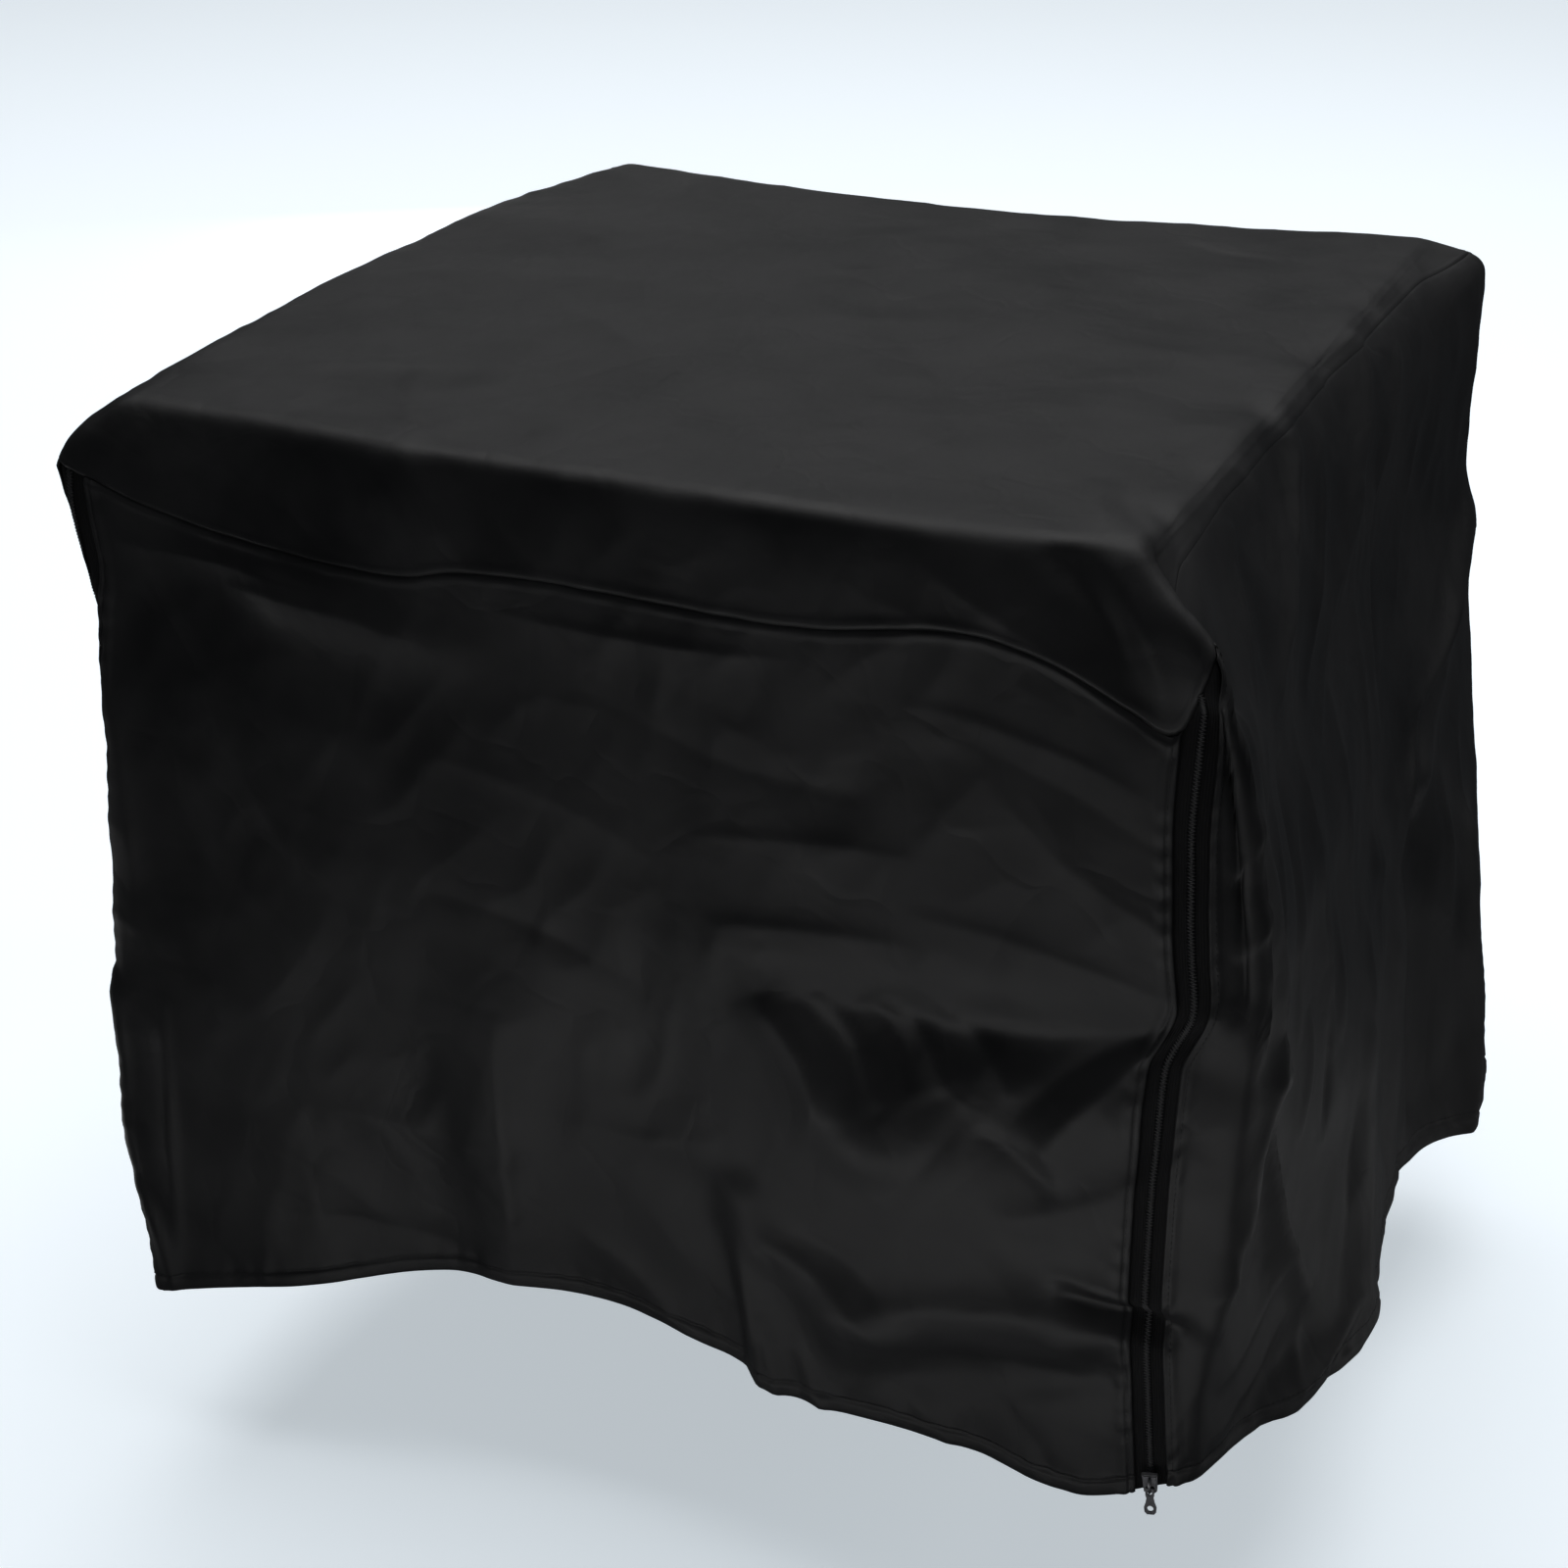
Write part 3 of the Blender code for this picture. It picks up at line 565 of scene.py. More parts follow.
# %% [markdown]
# Over the broad folds come creases, which a real cover keeps from being packed and handled. A crease has
# a crest of a few millimetres and then falls away to each side, often more steeply on one side, so its
# table also says how far it reaches to either side and how much it bows on its way.

# %% Creases
# Both ends as place and mm below the roof, then reach on the near and the far side, height and
# bow, all in mm. The near side is on the left, looking from the first end to the second.
Crease = namedtuple("Crease", "from_place from_down to_place to_down near far height bow")
CREASES = table(
    Crease,
    # Front, the band over the seam
    (0.58, -6, 0.80, 54, 3, 8, 1.3, 6),
    (0.66, -2, 0.88, 40, 3, 6, -1.0, 4),
    (0.28, 20, 0.50, 48, 9, 5, -1.6, 3),
    (1.46, 30, 1.84, 44, 10, 6, 1.0, -5),
    (1.60, 16, 1.90, 62, 9, 5, 1.4, -4),
    (1.84, 6, 1.84, 54, 5, 10, -2.6, 2),
    (1.92, 8, 1.90, 60, 4, 7, 3.0, -2),
    # Front, under the seam
    (0.10, 60, 0.52, 70, 3, 10, 2.4, 2),
    (0.30, 74, 0.62, 84, 5, 12, 2.2, 4),
    (0.80, 64, 1.30, 64, 3, 10, 1.8, -2),
    (1.27, 54, 1.20, 96, 8, 10, -1.4, 4),
    (1.50, 74, 1.84, 94, 2.5, 8, 0.8, 4),
    (1.56, 84, 1.92, 128, 12, 8, -0.7, 5),
    (1.60, 100, 1.86, 150, 6, 14, 1.0, -6),
    (0.95, 96, 1.40, 118, 14, 10, -1.2, -9),
    (1.10, 151, 1.46, 142, 4, 12, 1.6, 3),
    (1.12, 191, 1.46, 182, 4, 12, 1.4, 3),
    (1.46, 168, 1.88, 184, 4, 14, 1.5, 5),
    (0.60, 140, 1.02, 168, 14, 9, 1.6, 8),
    (0.20, 120, 0.40, 210, 14, 9, 1.8, -6),
    (0.42, 220, 0.20, 300, 9, 16, 1.8, 8),
    (0.60, 205, 1.00, 232, 12, 8, -1.6, 6),
    # Front, the claw folds and the lines that run to the kink in the zip
    (1.22, 222, 1.34, 268, 3, 10, 4.2, 4),
    (1.28, 218, 1.39, 260, 7, 3, -2.4, 4),
    (1.31, 216, 1.42, 256, 3, 9, 3.6, 3),
    (1.38, 216, 1.47, 246, 6, 3, -2.0, 3),
    (1.42, 214, 1.52, 244, 3, 9, 2.6, 3),
    (1.50, 210, 1.63, 240, 4, 8, 1.8, 3),
    (1.20, 218, 1.66, 206, 14, 14, -1.8, -7),
    (1.40, 222, 1.93, 190, 16, 18, -2.8, -8),
    (1.95, 180, 1.70, 262, 3, 9, 4.2, -6),
    (1.92, 188, 1.64, 252, 8, 6, -3.0, -6),
    (1.60, 262, 1.72, 280, 6, 6, -2.8, 2),
    (1.64, 300, 1.93, 250, 6, 12, 2.4, -5),
    (1.56, 254, 1.46, 300, 6, 9, -2.2, 3),
    (1.76, 330, 1.945, 338, 3, 5, -5.5, 1),
    (1.74, 320, 1.945, 328, 7, 3, 3.0, 1),
    (1.78, 343, 1.94, 352, 5, 10, 2.2, 2),
    # Front, low down
    (1.25, 342, 1.46, 378, 4, 10, 2.8, 6),
    (1.31, 334, 1.47, 360, 7, 4, -1.5, 4),
    (1.19, 350, 1.23, 430, 3, 9, 4.0, 3),
    (1.24, 384, 1.27, 436, 3, 6, 3.2, 2),
    (1.145, 350, 1.19, 430, 7, 4, -3.0, 2),
    (1.30, 392, 1.36, 440, 3, 7, 3.0, 2),
    (1.35, 372, 1.80, 340, 9, 20, 3.2, 7),
    (1.44, 394, 1.84, 372, 16, 10, -2.4, 5),
    (1.50, 404, 1.62, 452, 6, 9, 2.2, 2),
    (1.66, 398, 1.80, 440, 8, 8, -2.0, 3),
    (0.74, 262, 0.72, 410, 5, 34, 4.6, 5),
    (0.40, 330, 0.70, 338, 8, 12, 1.8, 3),
    (0.86, 310, 1.14, 300, 9, 12, 2.0, -6),
    (0.30, 392, 0.66, 402, 9, 9, -1.6, 5),
    (0.88, 372, 1.08, 420, 8, 12, 2.0, 5),
    (0.10, 286, 0.05, 440, 4, 9, 2.8, 4),
    (-0.01, 276, 0.00, 340, 3, 6, 3.6, 4),
    (0.02, 330, -0.01, 392, 3, 5, 3.2, -3),
    (0.00, 390, 0.04, 448, 3, 5, 3.4, 3),
    (0.00, 120, 0.05, 250, 5, 9, 2.2, 3),
    # Front right corner
    (2.05, -2, 2.08, 40, 3, 8, -5.0, 0),
    (2.015, 22, 1.96, 52, 4, 4, 3.6, 2),
    (1.985, 56, 1.985, 178, 6, 5, -4.4, 0),
    (2.02, 40, 2.03, 206, 2.5, 6, 4.4, 2),
    (2.03, 100, 1.98, 124, 2.5, 4, 3.2, 2),
    (2.03, 140, 1.98, 158, 2.5, 4, 2.8, 2),
    # Right side, the fork behind the corner
    (2.10, 205, 2.035, 290, 3, 7, 4.0, -4),
    (2.075, 258, 2.00, 336, 3, 5, 3.8, -3),
    (2.05, 300, 1.995, 316, 3, 4, 2.2, 1),
    (2.10, 205, 2.35, 362, 2.5, 7, 4.2, -6),
    (2.13, 232, 2.22, 330, 9, 3, -3.0, -3),
    (2.10, 118, 2.10, 210, 4, 8, 3.2, 2),
    (2.36, 352, 2.30, 420, 5, 7, 2.4, 3),
    # Right side, upright lines
    (2.37, 20, 2.30, 78, 3, 8, 2.8, 2),
    (2.22, 70, 2.17, 150, 4, 8, 2.4, 3),
    (2.55, 92, 2.53, 240, 4, 10, 2.8, 3),
    (2.40, 120, 2.34, 190, 6, 4, -2.2, 2),
    (2.79, 4, 2.42, 100, 4, 10, 3.0, 8),
    (2.66, 30, 2.60, 92, 6, 4, -2.2, 2),
    (2.92, 20, 2.70, 120, 9, 5, 2.4, 7),
    (3.27, -2, 2.98, 92, 5, 12, 3.2, 6),
    (3.48, 6, 3.24, 96, 5, 10, 2.8, 6),
    (3.10, 56, 3.09, 254, 4, 10, 2.8, 3),
    (3.30, 60, 3.26, 190, 9, 5, -2.4, 4),
    (2.86, 130, 2.80, 236, 4, 8, 2.4, 3),
    (3.98, 150, 3.46, 208, 3, 12, 3.4, 7),
    (3.54, 198, 3.26, 280, 3, 11, 3.6, 4),
    (3.40, 250, 3.32, 400, 8, 5, -3.2, 5),
    (3.78, 318, 3.50, 456, 3, 12, 3.8, 6),
    (3.66, 250, 3.60, 330, 9, 5, 2.4, 3),
    # Right side, in the middle: short packing creases
    (2.40, 236, 2.30, 276, 4, 6, 2.4, 2),
    (2.50, 252, 2.44, 292, 4, 6, -2.2, 2),
    (2.66, 220, 2.58, 262, 4, 7, 2.2, 3),
    (2.90, 250, 2.78, 288, 4, 7, 2.4, 3),
    # Right side, low down
    (2.78, 286, 2.60, 402, 2.5, 7, 3.4, 5),
    (2.30, 128, 2.16, 196, 2, 5, 1.8, 3),
    (2.44, 150, 2.33, 232, 2, 4, 1.6, -2),
    (2.62, 176, 2.52, 262, 2, 5, 1.6, 3),
    (2.98, 84, 2.76, 140, 2, 6, 1.5, 3),
    (3.16, 210, 3.04, 300, 2, 6, 1.6, 3),
    (3.34, 96, 3.20, 168, 2, 5, 1.4, -3),
    (3.62, 70, 3.44, 150, 2, 6, 1.6, 4),
    (3.84, 250, 3.72, 344, 2, 6, 1.6, 3),
    (2.66, 300, 2.50, 388, 8, 4, -2.2, 4),
    (2.72, 415, 2.27, 418, 4, 9, 4.6, 7),
    (2.58, 396, 2.16, 408, 3, 8, 4.6, 6),
    (2.50, 408, 2.22, 432, 7, 4, -3.4, 5),
    (2.54, 432, 2.18, 456, 3, 8, 4.0, 4),
    (2.30, 330, 2.06, 372, 5, 10, 2.6, 4),
    (2.28, 366, 2.05, 400, 6, 9, 2.6, 4),
    (2.20, 420, 2.04, 440, 5, 8, 2.2, 2),
    (3.18, 414, 2.94, 466, 4, 12, 4.0, 4),
    (3.02, 330, 2.92, 430, 4, 10, 2.0, 5),
    # Left side and back
    (6.20, 60, 6.50, 180, 6, 12, 3.0, 6),
    (6.60, 120, 6.70, 420, 6, 12, 3.2, 8),
    (7.10, 40, 7.00, 240, 5, 12, 2.8, 5),
    (7.55, 200, 7.40, 430, 5, 12, 3.2, 6),
    (7.80, 60, 7.70, 260, 8, 5, 2.6, 5),
    (4.20, 100, 4.30, 380, 5, 12, 3.0, 6),
    (4.70, 40, 4.60, 260, 8, 5, 2.6, 7),
    (5.00, 240, 4.90, 440, 5, 12, 3.2, 6),
    (5.40, 80, 5.55, 300, 6, 12, 3.0, 7),
    (5.80, 200, 5.70, 440, 5, 10, 2.8, 5),
)


# %% [markdown]
# Between the creases the cloth is crumpled all over. Gradient noise makes round hills, which crumpled
# cloth doesn't have, but its absolute value has a sharp valley wherever the noise crosses zero, with
# nearly flat facets between. Two sizes of it, drawn out along the pull of the cloth, give the fine
# crumple. The roof also has a few soft dents where the cloth sags over its edge.

# %% Height of the cloth over its draped surface
def bump_at(distance, middle, width):
    return np.exp(-(((distance - middle) / width) ** 2))


def beside_line(from_start, across, down):
    """How far along a line points are, how far to its left, and how long it is, all in mm."""
    length = math.hypot(across, down)
    along = (from_start[0] * across + from_start[1] * down) / length
    aside = (from_start[0] * down - from_start[1] * across) / length
    return along, aside, length


def ridge(from_start, across, down, half_width):
    """Shape of one fold from 0 to 1, round across and fading out at both ends."""
    along, aside, length = beside_line(from_start, across, down)
    beyond = np.maximum(np.maximum(-along, along - length), 0)
    return np.exp(-((aside / half_width) ** 2) - (beyond / half_width) ** 2)


def crest(from_start, across, down, near, far, bow):
    """Shape of one crease from 0 to 1: a narrow crest, then a fall to each side."""
    along, aside, length = beside_line(from_start, across, down)
    share = np.clip(along / length, 0, 1)
    aside = aside - bow * 4 * share * (1 - share)
    reach = np.where(aside > 0, near, far)
    fall = np.exp(-(np.sqrt(aside**2 + CREST**2) - CREST) / reach)
    fade = np.sin(np.pi * np.clip((along + BEYOND) / (length + 2 * BEYOND), 0, 1)) ** FADE
    return fall * fade


def place_gap(place, from_place):
    """Way round the cover from one place to another, in mm of cloth."""
    return (np.mod(place - from_place + ROUND / 2, ROUND) - ROUND / 2) * PLACE_LENGTH


def crumple(base, size, stretch, slant, seed):
    """Crumpled cloth from -1 to 0: flat facets with sharp valleys, the same for all panels. Size is in mm."""
    x, y, z = base.T / (size * MM)
    points = zip(x + slant * z + seed, y + slant * z, z / stretch)
    return -np.abs([noise.noise(point) for point in points])


def on_wall(row, place, down):
    """A line of the walls in mm: the way to each point from its start, then its run across and down."""
    from_start = (place_gap(place, row.from_place), down - row.from_down)
    return from_start, (row.to_place - row.from_place) * PLACE_LENGTH, row.to_down - row.from_down


# Radius of a crease's crest, how far it runs on beyond its ends, and how it fades towards them
CREST = 1.2
BEYOND = 4
FADE = 0.6
WRINKLE_BOW = 3
# The folds of the walls fade in over this length round the roof's edge, in mm
FOLD_START = 12
# How deep each crumple is in mm, then its size, stretch, slant in radians and seed
WALL_CRUMPLES = ((2.4, 62, 1.6, 0.35, 3.1), (1.3, 26, 1.9, -0.30, 9.4))
ROOF_CRUMPLES = ((2.2, 96, 1.0, 0.0, 7.7), (0.8, 40, 1.0, 0.0, 5.2))
# Dents in the roof's edge: place, half width along the edge and depth, in mm
EDGE_DENTS = (
    (2.14, 9, 2.6), (2.34, 16, 1.8), (2.74, 13, 3.2),
    (3.08, 17, 3.0), (3.46, 14, 3.4), (3.72, 16, 2.0),
)
DENT_REACH = 13


def cloth_height(place, level, base):
    """Height of the cloth over its draped surface, in metres."""
    length = level_length(level)
    down = np.where(level < 0, length, -base[..., 2] / MM)
    walls = np.zeros(place.shape)
    for fold in FOLDS:
        walls += fold.height * ridge(*on_wall(fold, place, down), fold.half_width)
    for crease in CREASES:
        walls += crease.height * crest(*on_wall(crease, place, down), crease.near, crease.far, crease.bow)
    top = np.zeros(place.shape)
    x, y = base[..., 0] / MM, base[..., 1] / MM
    for row in WRINKLES:
        line = ((x - row.from_x, y - row.from_y), row.to_x - row.from_x, row.to_y - row.from_y)
        top += row.height * crest(*line, row.half_width, 2 * row.half_width, WRINKLE_BOW)
    walls = walls + sum(depth * crumple(base, *shape) for depth, *shape in WALL_CRUMPLES)
    top = top + sum(depth * crumple(base, *shape) for depth, *shape in ROOF_CRUMPLES)
    dents = 0
    for at, half_width, depth in EDGE_DENTS:
        dents = dents + depth * bump_at(place_gap(place, at), 0, half_width) * bump_at(length, 0, DENT_REACH)
    on_walls = np.clip(length / FOLD_START + 0.5, 0, 1)
    return (walls * on_walls + top * (1 - on_walls) - dents) * MM


def folded_cloth(place, level):
    """Points of the draped surface, the way out of it, and the height of the folded cloth over it."""
    base = rounded_drape(place, level)
    height = cloth_height(place.ravel(), level.ravel(), base.reshape(-1, 3)).reshape(place.shape)
    return base, outward(place, level), height


print(len(FOLDS), "folds,", len(CREASES), "creases")


# %% [markdown]
# ## Panels
#
# A panel is a grid laid on the draped surface. Its lines are close together along its edges, where the
# hem and the seams bend sharply, and further apart in the middle. The grid is drawn, pushed out by the
# folds and shaped at its four edges, and then gets the thickness of the cloth.

# %% Grid lines
def grid_lines(length, spacing, start_marks, end_marks):
    """Positions from 0 to 1 along a length in mm: marks near each end, and an even spacing between."""
    first = start_marks[-1] if start_marks else 0
    last = length - (end_marks[-1] if end_marks else 0)
    count = max(2, round((last - first) / spacing))
    middle = np.linspace(first, last, count + 1)
    marks = [*start_marks[:-1], *middle, *(length - mark for mark in reversed(end_marks[:-1]))]
    return np.array(marks) / length


# Where the topstitching lies and where the cloth that is folded inside ends, in mm from the edge
HEM_STITCHED = 8.2
HEM_ENDS = 9.4
ZIP_STITCHED = 2.6
ZIP_ENDS = 6.5
SEAM_MARKS = (0, 0.7, 1.5, 2.6, 4.2)
HEM_MARKS = (0, 0.5, 1.2, 2.6, 4.6, 6.4, 7.4, HEM_STITCHED, 9.0, 9.8, 11, 13)
ZIP_MARKS = (0, 0.4, 1.0, 1.8, ZIP_STITCHED, 3.3, 4.0, 5.0, ZIP_ENDS, 8.0, 9.2, 11)
print("lines for a seam, a hem and a zip edge:", len(SEAM_MARKS), len(HEM_MARKS), len(ZIP_MARKS))


# %% [markdown]
# Each kind of edge has its own small relief. A seam turns in to meet its neighbour. A hem is folded
# inside, so it stands a little proud, with a stitched groove 8 mm up. The edge along a zip is folded back
# and stitched close to the fold.

# %% Edge relief
def step_down(distance, at, width):
    return 0.5 - 0.5 * np.tanh((distance - at) / width)


def puckers(along, height, wave, slow_wave, start=0):
    """Short waves along an edge that swell and fade with a slower one, all in mm."""
    return height * np.sin(along / wave) * np.sin(along / slow_wave + start)


def seam_relief(distance, along):
    raised = 0.5 + puckers(along, 0.14, 3.1, 8.3)
    return -0.5 * bump_at(distance, 0, 0.8) + raised * bump_at(distance, 2.6, 1.6)


def flat_seam_relief(distance, along):
    return -0.2 * bump_at(distance, 0, 1.0)


def hem_relief(distance, along):
    gathered = puckers(along, 0.42, 2.9, 7.3, 1.3) + 0.22 * np.sin(along / 1.7)
    folded = 0.7 * step_down(distance, HEM_ENDS, 0.5)
    groove = -1.1 * bump_at(distance, HEM_STITCHED, 0.9)
    near_stitches = bump_at(distance, HEM_STITCHED, 5)
    return folded - 0.55 * bump_at(distance, 0, 0.9) + groove + gathered * near_stitches


def zip_relief(distance, along):
    gathered = puckers(along, 0.34, 2.6, 6.1) + 0.16 * np.sin(along / 1.6)
    folded = 0.8 * step_down(distance, ZIP_ENDS, 0.9)
    groove = -0.8 * bump_at(distance, ZIP_STITCHED, 0.7)
    return folded - 0.6 * bump_at(distance, 0, 0.7) + groove + gathered * bump_at(distance, 3.4, 4)


RELIEF = {"seam": seam_relief, "flat seam": flat_seam_relief, "hem": hem_relief, "zip": zip_relief}
# How much of the seam's relief shows, round the cover: along the right side it is pressed flat
SEAM_SHOWS = ((0, 1.9, 2.2, 3.8, 4.1, 8), (1, 1, 0.25, 0.25, 1, 1))


def edge_distances(points):
    """Distance in mm of each grid point from the left, right, top and bottom edges, along the grid."""
    across = np.linalg.norm(np.diff(points, axis=1), axis=-1) / MM
    down = np.linalg.norm(np.diff(points, axis=0), axis=-1) / MM
    left = np.concatenate([np.zeros((points.shape[0], 1)), np.cumsum(across, axis=1)], axis=1)
    top = np.concatenate([np.zeros((1, points.shape[1])), np.cumsum(down, axis=0)], axis=0)
    return left, left[:, -1:] - left, top, top[-1:] - top


print("edges:", ", ".join(RELIEF))


# %% [markdown]
# The panels meet along lines of the surface: the seam under the top panel, the two zips, and plain seams
# down the back corners. A wall runs from its left edge to its right edge and from the seam to the hem.

# %% Lines between panels
# How far the cloth's outer face is from the draped surface, and how thick the cloth is
CLOTH = 1.5 * MM
FABRIC = 0.6 * MM
# Below 0, so that neighbours cross by a hair and no light comes through a seam
SEAM_GAP = -0.2 * MM
SEAM_GAP_LEVELS = SEAM_GAP / 2 / (LEVEL_LENGTH[1] * MM)
HALF_ZIP = 7 * MM
SETTLING_PASSES = 3


def zip_place(corner, inward, run, level, aside):
    """Place of a line beside a zip's middle, aside metres from it towards the cover's side wall."""
    place = corner + inward * smooth_curve(*zip(*run), level) / PLACE_LENGTH
    around = rounded_drape(place + STEP_PLACE, level) - rounded_drape(place - STEP_PLACE, level)
    metres_per_place = np.linalg.norm(around, axis=-1) / (2 * STEP_PLACE)
    return place - inward * aside / metres_per_place


def right_zip_place(level, aside):
    return zip_place(2, -1, RIGHT_ZIP, level, aside)


def left_zip_place(level, aside):
    return zip_place(0, 1, LEFT_ZIP, level, aside)


def zip_edge(zip_line, aside, turn=0):
    return lambda level: turn + zip_line(level, aside)


def plain_edge(place, way):
    return lambda level: place + way * SEAM_GAP / 2 / (PLACE_LENGTH * MM) + 0 * level


def seam_to_hem(place_at, down, gap=0):
    """Place and level of points at these shares of the way from the seam down to the hem.

    A place depends on its level, and the seam's level on its place, so they settle in a few passes.
    """
    level = 1 + down * (HEM - 1)
    for _ in range(SETTLING_PASSES):
        place = place_at(level)
        top = seam_level(place) + gap
        level = top + (HEM - top) * down
    return place, level


def wall_grid(left_edge, right_edge, across, down):
    """Place and level of a wall panel's grid points, rows from the seam down and columns left to right."""
    across, down = np.meshgrid(across, down)

    def place_at(level):
        left, right = left_edge(level), right_edge(level)
        return left + (right - left) * across

    return seam_to_hem(place_at, down, SEAM_GAP_LEVELS)


print("opening between the panels at a zip:", 2 * HALF_ZIP / MM, "mm")


# %% [markdown]
# Blender's own grid gives each panel its faces, so only its points have to be moved into place. Each point
# also gets its place on the flat cloth, which the weave of the finish is read from. A Solidify modifier then
# gives the cloth its thickness, on the inside, so that the outer face stays where it is.

# %% Build a panel
def grid_mesh(name, points, cloth_place):
    """A mesh from a grid of points, with the cloth's own coordinates in its UV map."""
    rows, columns = points.shape[:2]
    builder = bmesh.new()
    bmesh.ops.create_grid(builder, x_segments=columns - 1, y_segments=rows - 1, size=0.5)
    uv_layer = builder.loops.layers.uv.new("cloth")
    flat_points = points.reshape(-1, 3)
    flat_place = cloth_place.reshape(-1, 2)
    at = []
    for vertex in builder.verts:
        column = round((vertex.co.x + 0.5) * (columns - 1))
        row = round((0.5 - vertex.co.y) * (rows - 1))
        at.append(row * columns + column)
    for vertex, index in zip(builder.verts, at):
        vertex.co = flat_points[index]
    for face in builder.faces:
        face.smooth = True
        for loop in face.loops:
            loop[uv_layer].uv = flat_place[at[loop.vert.index]]
    mesh = bpy.data.meshes.new(name)
    builder.to_mesh(mesh)
    builder.free()
    return mesh


def add_sheet(name, mesh, material, thickness):
    mesh.materials.append(material)
    piece = new_object(name, mesh)
    solid = piece.modifiers.new("Thickness", "SOLIDIFY")
    solid.thickness = thickness
    solid.offset = -1
    return piece


def wall_panel(name, material, grid, edges):
    """A wall panel and its grid of outer points. edges names the relief at the left, right, top, bottom."""
    place, level = grid
    base, out, height = folded_cloth(place, level)
    left, right, top, bottom = edge_distances(base)
    for kind, distance, along in zip(edges, (left, right, top, bottom), (top, top, left, left)):
        height += RELIEF[kind](distance, along) * MM
    points = base + out * (CLOTH + height)[..., None]
    cloth_place = np.stack((place * PLACE_LENGTH * MM, -level_length(level) * MM), axis=-1)
    print(name, place.size, "points")
    return add_sheet(name, grid_mesh(name, points, cloth_place), material, FABRIC), points


print("panel builder ready")


# %% [markdown]
# ## Walls
#
# The front and the right side are seen best and have the finest grids. The left side and the back are
# finished as plainly as their folds.

# %% Wall panels
WALL_ACROSS = 2 * PLACE_LENGTH
WALL_DOWN = 440
FINE = 2.45
PLAIN = 3.6

fine_down = grid_lines(WALL_DOWN, FINE, SEAM_MARKS, HEM_MARKS)
plain_down = grid_lines(WALL_DOWN, PLAIN, SEAM_MARKS, HEM_MARKS)
front_across = grid_lines(WALL_ACROSS, FINE, ZIP_MARKS, ZIP_MARKS)
right_across = grid_lines(WALL_ACROSS, FINE, ZIP_MARKS, SEAM_MARKS)
back_across = grid_lines(WALL_ACROSS, PLAIN, SEAM_MARKS, SEAM_MARKS)
left_across = grid_lines(WALL_ACROSS, PLAIN, SEAM_MARKS, ZIP_MARKS)

left_zip_on_front = zip_edge(left_zip_place, -HALF_ZIP)
left_zip_on_left = zip_edge(left_zip_place, HALF_ZIP, ROUND)
right_zip_on_front = zip_edge(right_zip_place, -HALF_ZIP)
right_zip_on_right = zip_edge(right_zip_place, HALF_ZIP)

front_grid = wall_grid(left_zip_on_front, right_zip_on_front, front_across, fine_down)
right_grid = wall_grid(right_zip_on_right, plain_edge(4, -1), right_across, fine_down)
back_grid = wall_grid(plain_edge(4, 1), plain_edge(6, -1), back_across, plain_down)
left_grid = wall_grid(plain_edge(6, 1), left_zip_on_left, left_across, plain_down)

front, front_points = wall_panel("front_cloth", cloth, front_grid, ("zip", "zip", "seam", "hem"))
right, right_points = wall_panel("right_side_cloth", cloth, right_grid, ("zip", "seam", "flat seam", "hem"))
back, back_points = wall_panel("back_cloth", cloth, back_grid, ("seam", "seam", "seam", "hem"))
left, left_points = wall_panel("left_side_cloth", cloth, left_grid, ("seam", "zip", "seam", "hem"))


# %% [markdown]
# ## Top panel
#
# The top is one square of cloth. Its grid is a square too, whose rings run round the roof and then over
# its edge, down to the seam. In front the last rings are the hanging band.

# %% Top panel
ROOF_STEP = 3.1
BAND_RINGS = 26
# The rings close up towards the roof's edge, and then towards the seam
ROOF_CLOSING = 0.82
BAND_CLOSING = 0.25


def place_round_square(x, y):
    """Place of a point on the rim of a square that reaches from -1 to 1."""
    on_front, on_right, on_back = y <= -1 + TINY, x >= 1 - TINY, y >= 1 - TINY
    return np.mod(np.select([on_front, on_right, on_back], [1 + x, 3 + y, 5 - x], 7 - y), ROUND)


def top_grid():
    """Place and level of the top panel's grid points."""
    roof_rings = round(ROOF_HALF_DEPTH / MM / ROOF_STEP)
    rings = roof_rings + BAND_RINGS
    line = np.arange(-rings, rings + 1)
    x, y = np.meshgrid(line, -line)
    ring = np.maximum(np.abs(x), np.abs(y))
    near = np.maximum(ring, 1)
    place = place_round_square(x / near, y / near)
    part = np.clip(ring / roof_rings, 0, 1)
    on_roof = part * (1 + (1 - ROOF_CLOSING) * (1 - part)) - 1
    over = (ring - roof_rings) / BAND_RINGS
    over = over * (1 + BAND_CLOSING * (1 - over))
    on_band = over * (seam_level(place) - SEAM_GAP_LEVELS)
    return place, np.where(ring < roof_rings, on_roof, on_band)


def top_panel(name, material):
    place, level = top_grid()
    base, out, height = folded_cloth(place, level)
    to_seam = level_length(seam_level(place)) - level_length(level)
    height += seam_relief(to_seam, place * PLACE_LENGTH) * np.interp(place, *SEAM_SHOWS) * MM
    points = base + out * (CLOTH + height)[..., None]
    cloth_place = base[..., :2] - np.maximum(-base[..., 2:], 0) * (0, 1)
    print(name, place.size, "points")
    return add_sheet(name, grid_mesh(name, points, cloth_place), material, FABRIC)


top = top_panel("top_cloth", cloth)


# %% [markdown]
# ## Zips
#
# A coil zip is two narrow tapes with a nylon coil sewn along the edge of each. The panels are folded back
# and stitched over the tapes, so a tape is wider than what shows of it. It lies on the same folds as its
# panels, a little below them, and stays a separate piece: it is matt and ribbed where the cloth is smooth
# and glossy.

# %% Tape finish
RIB_PITCH = 1.1 * MM
TWILL_PITCH = 0.8 * MM


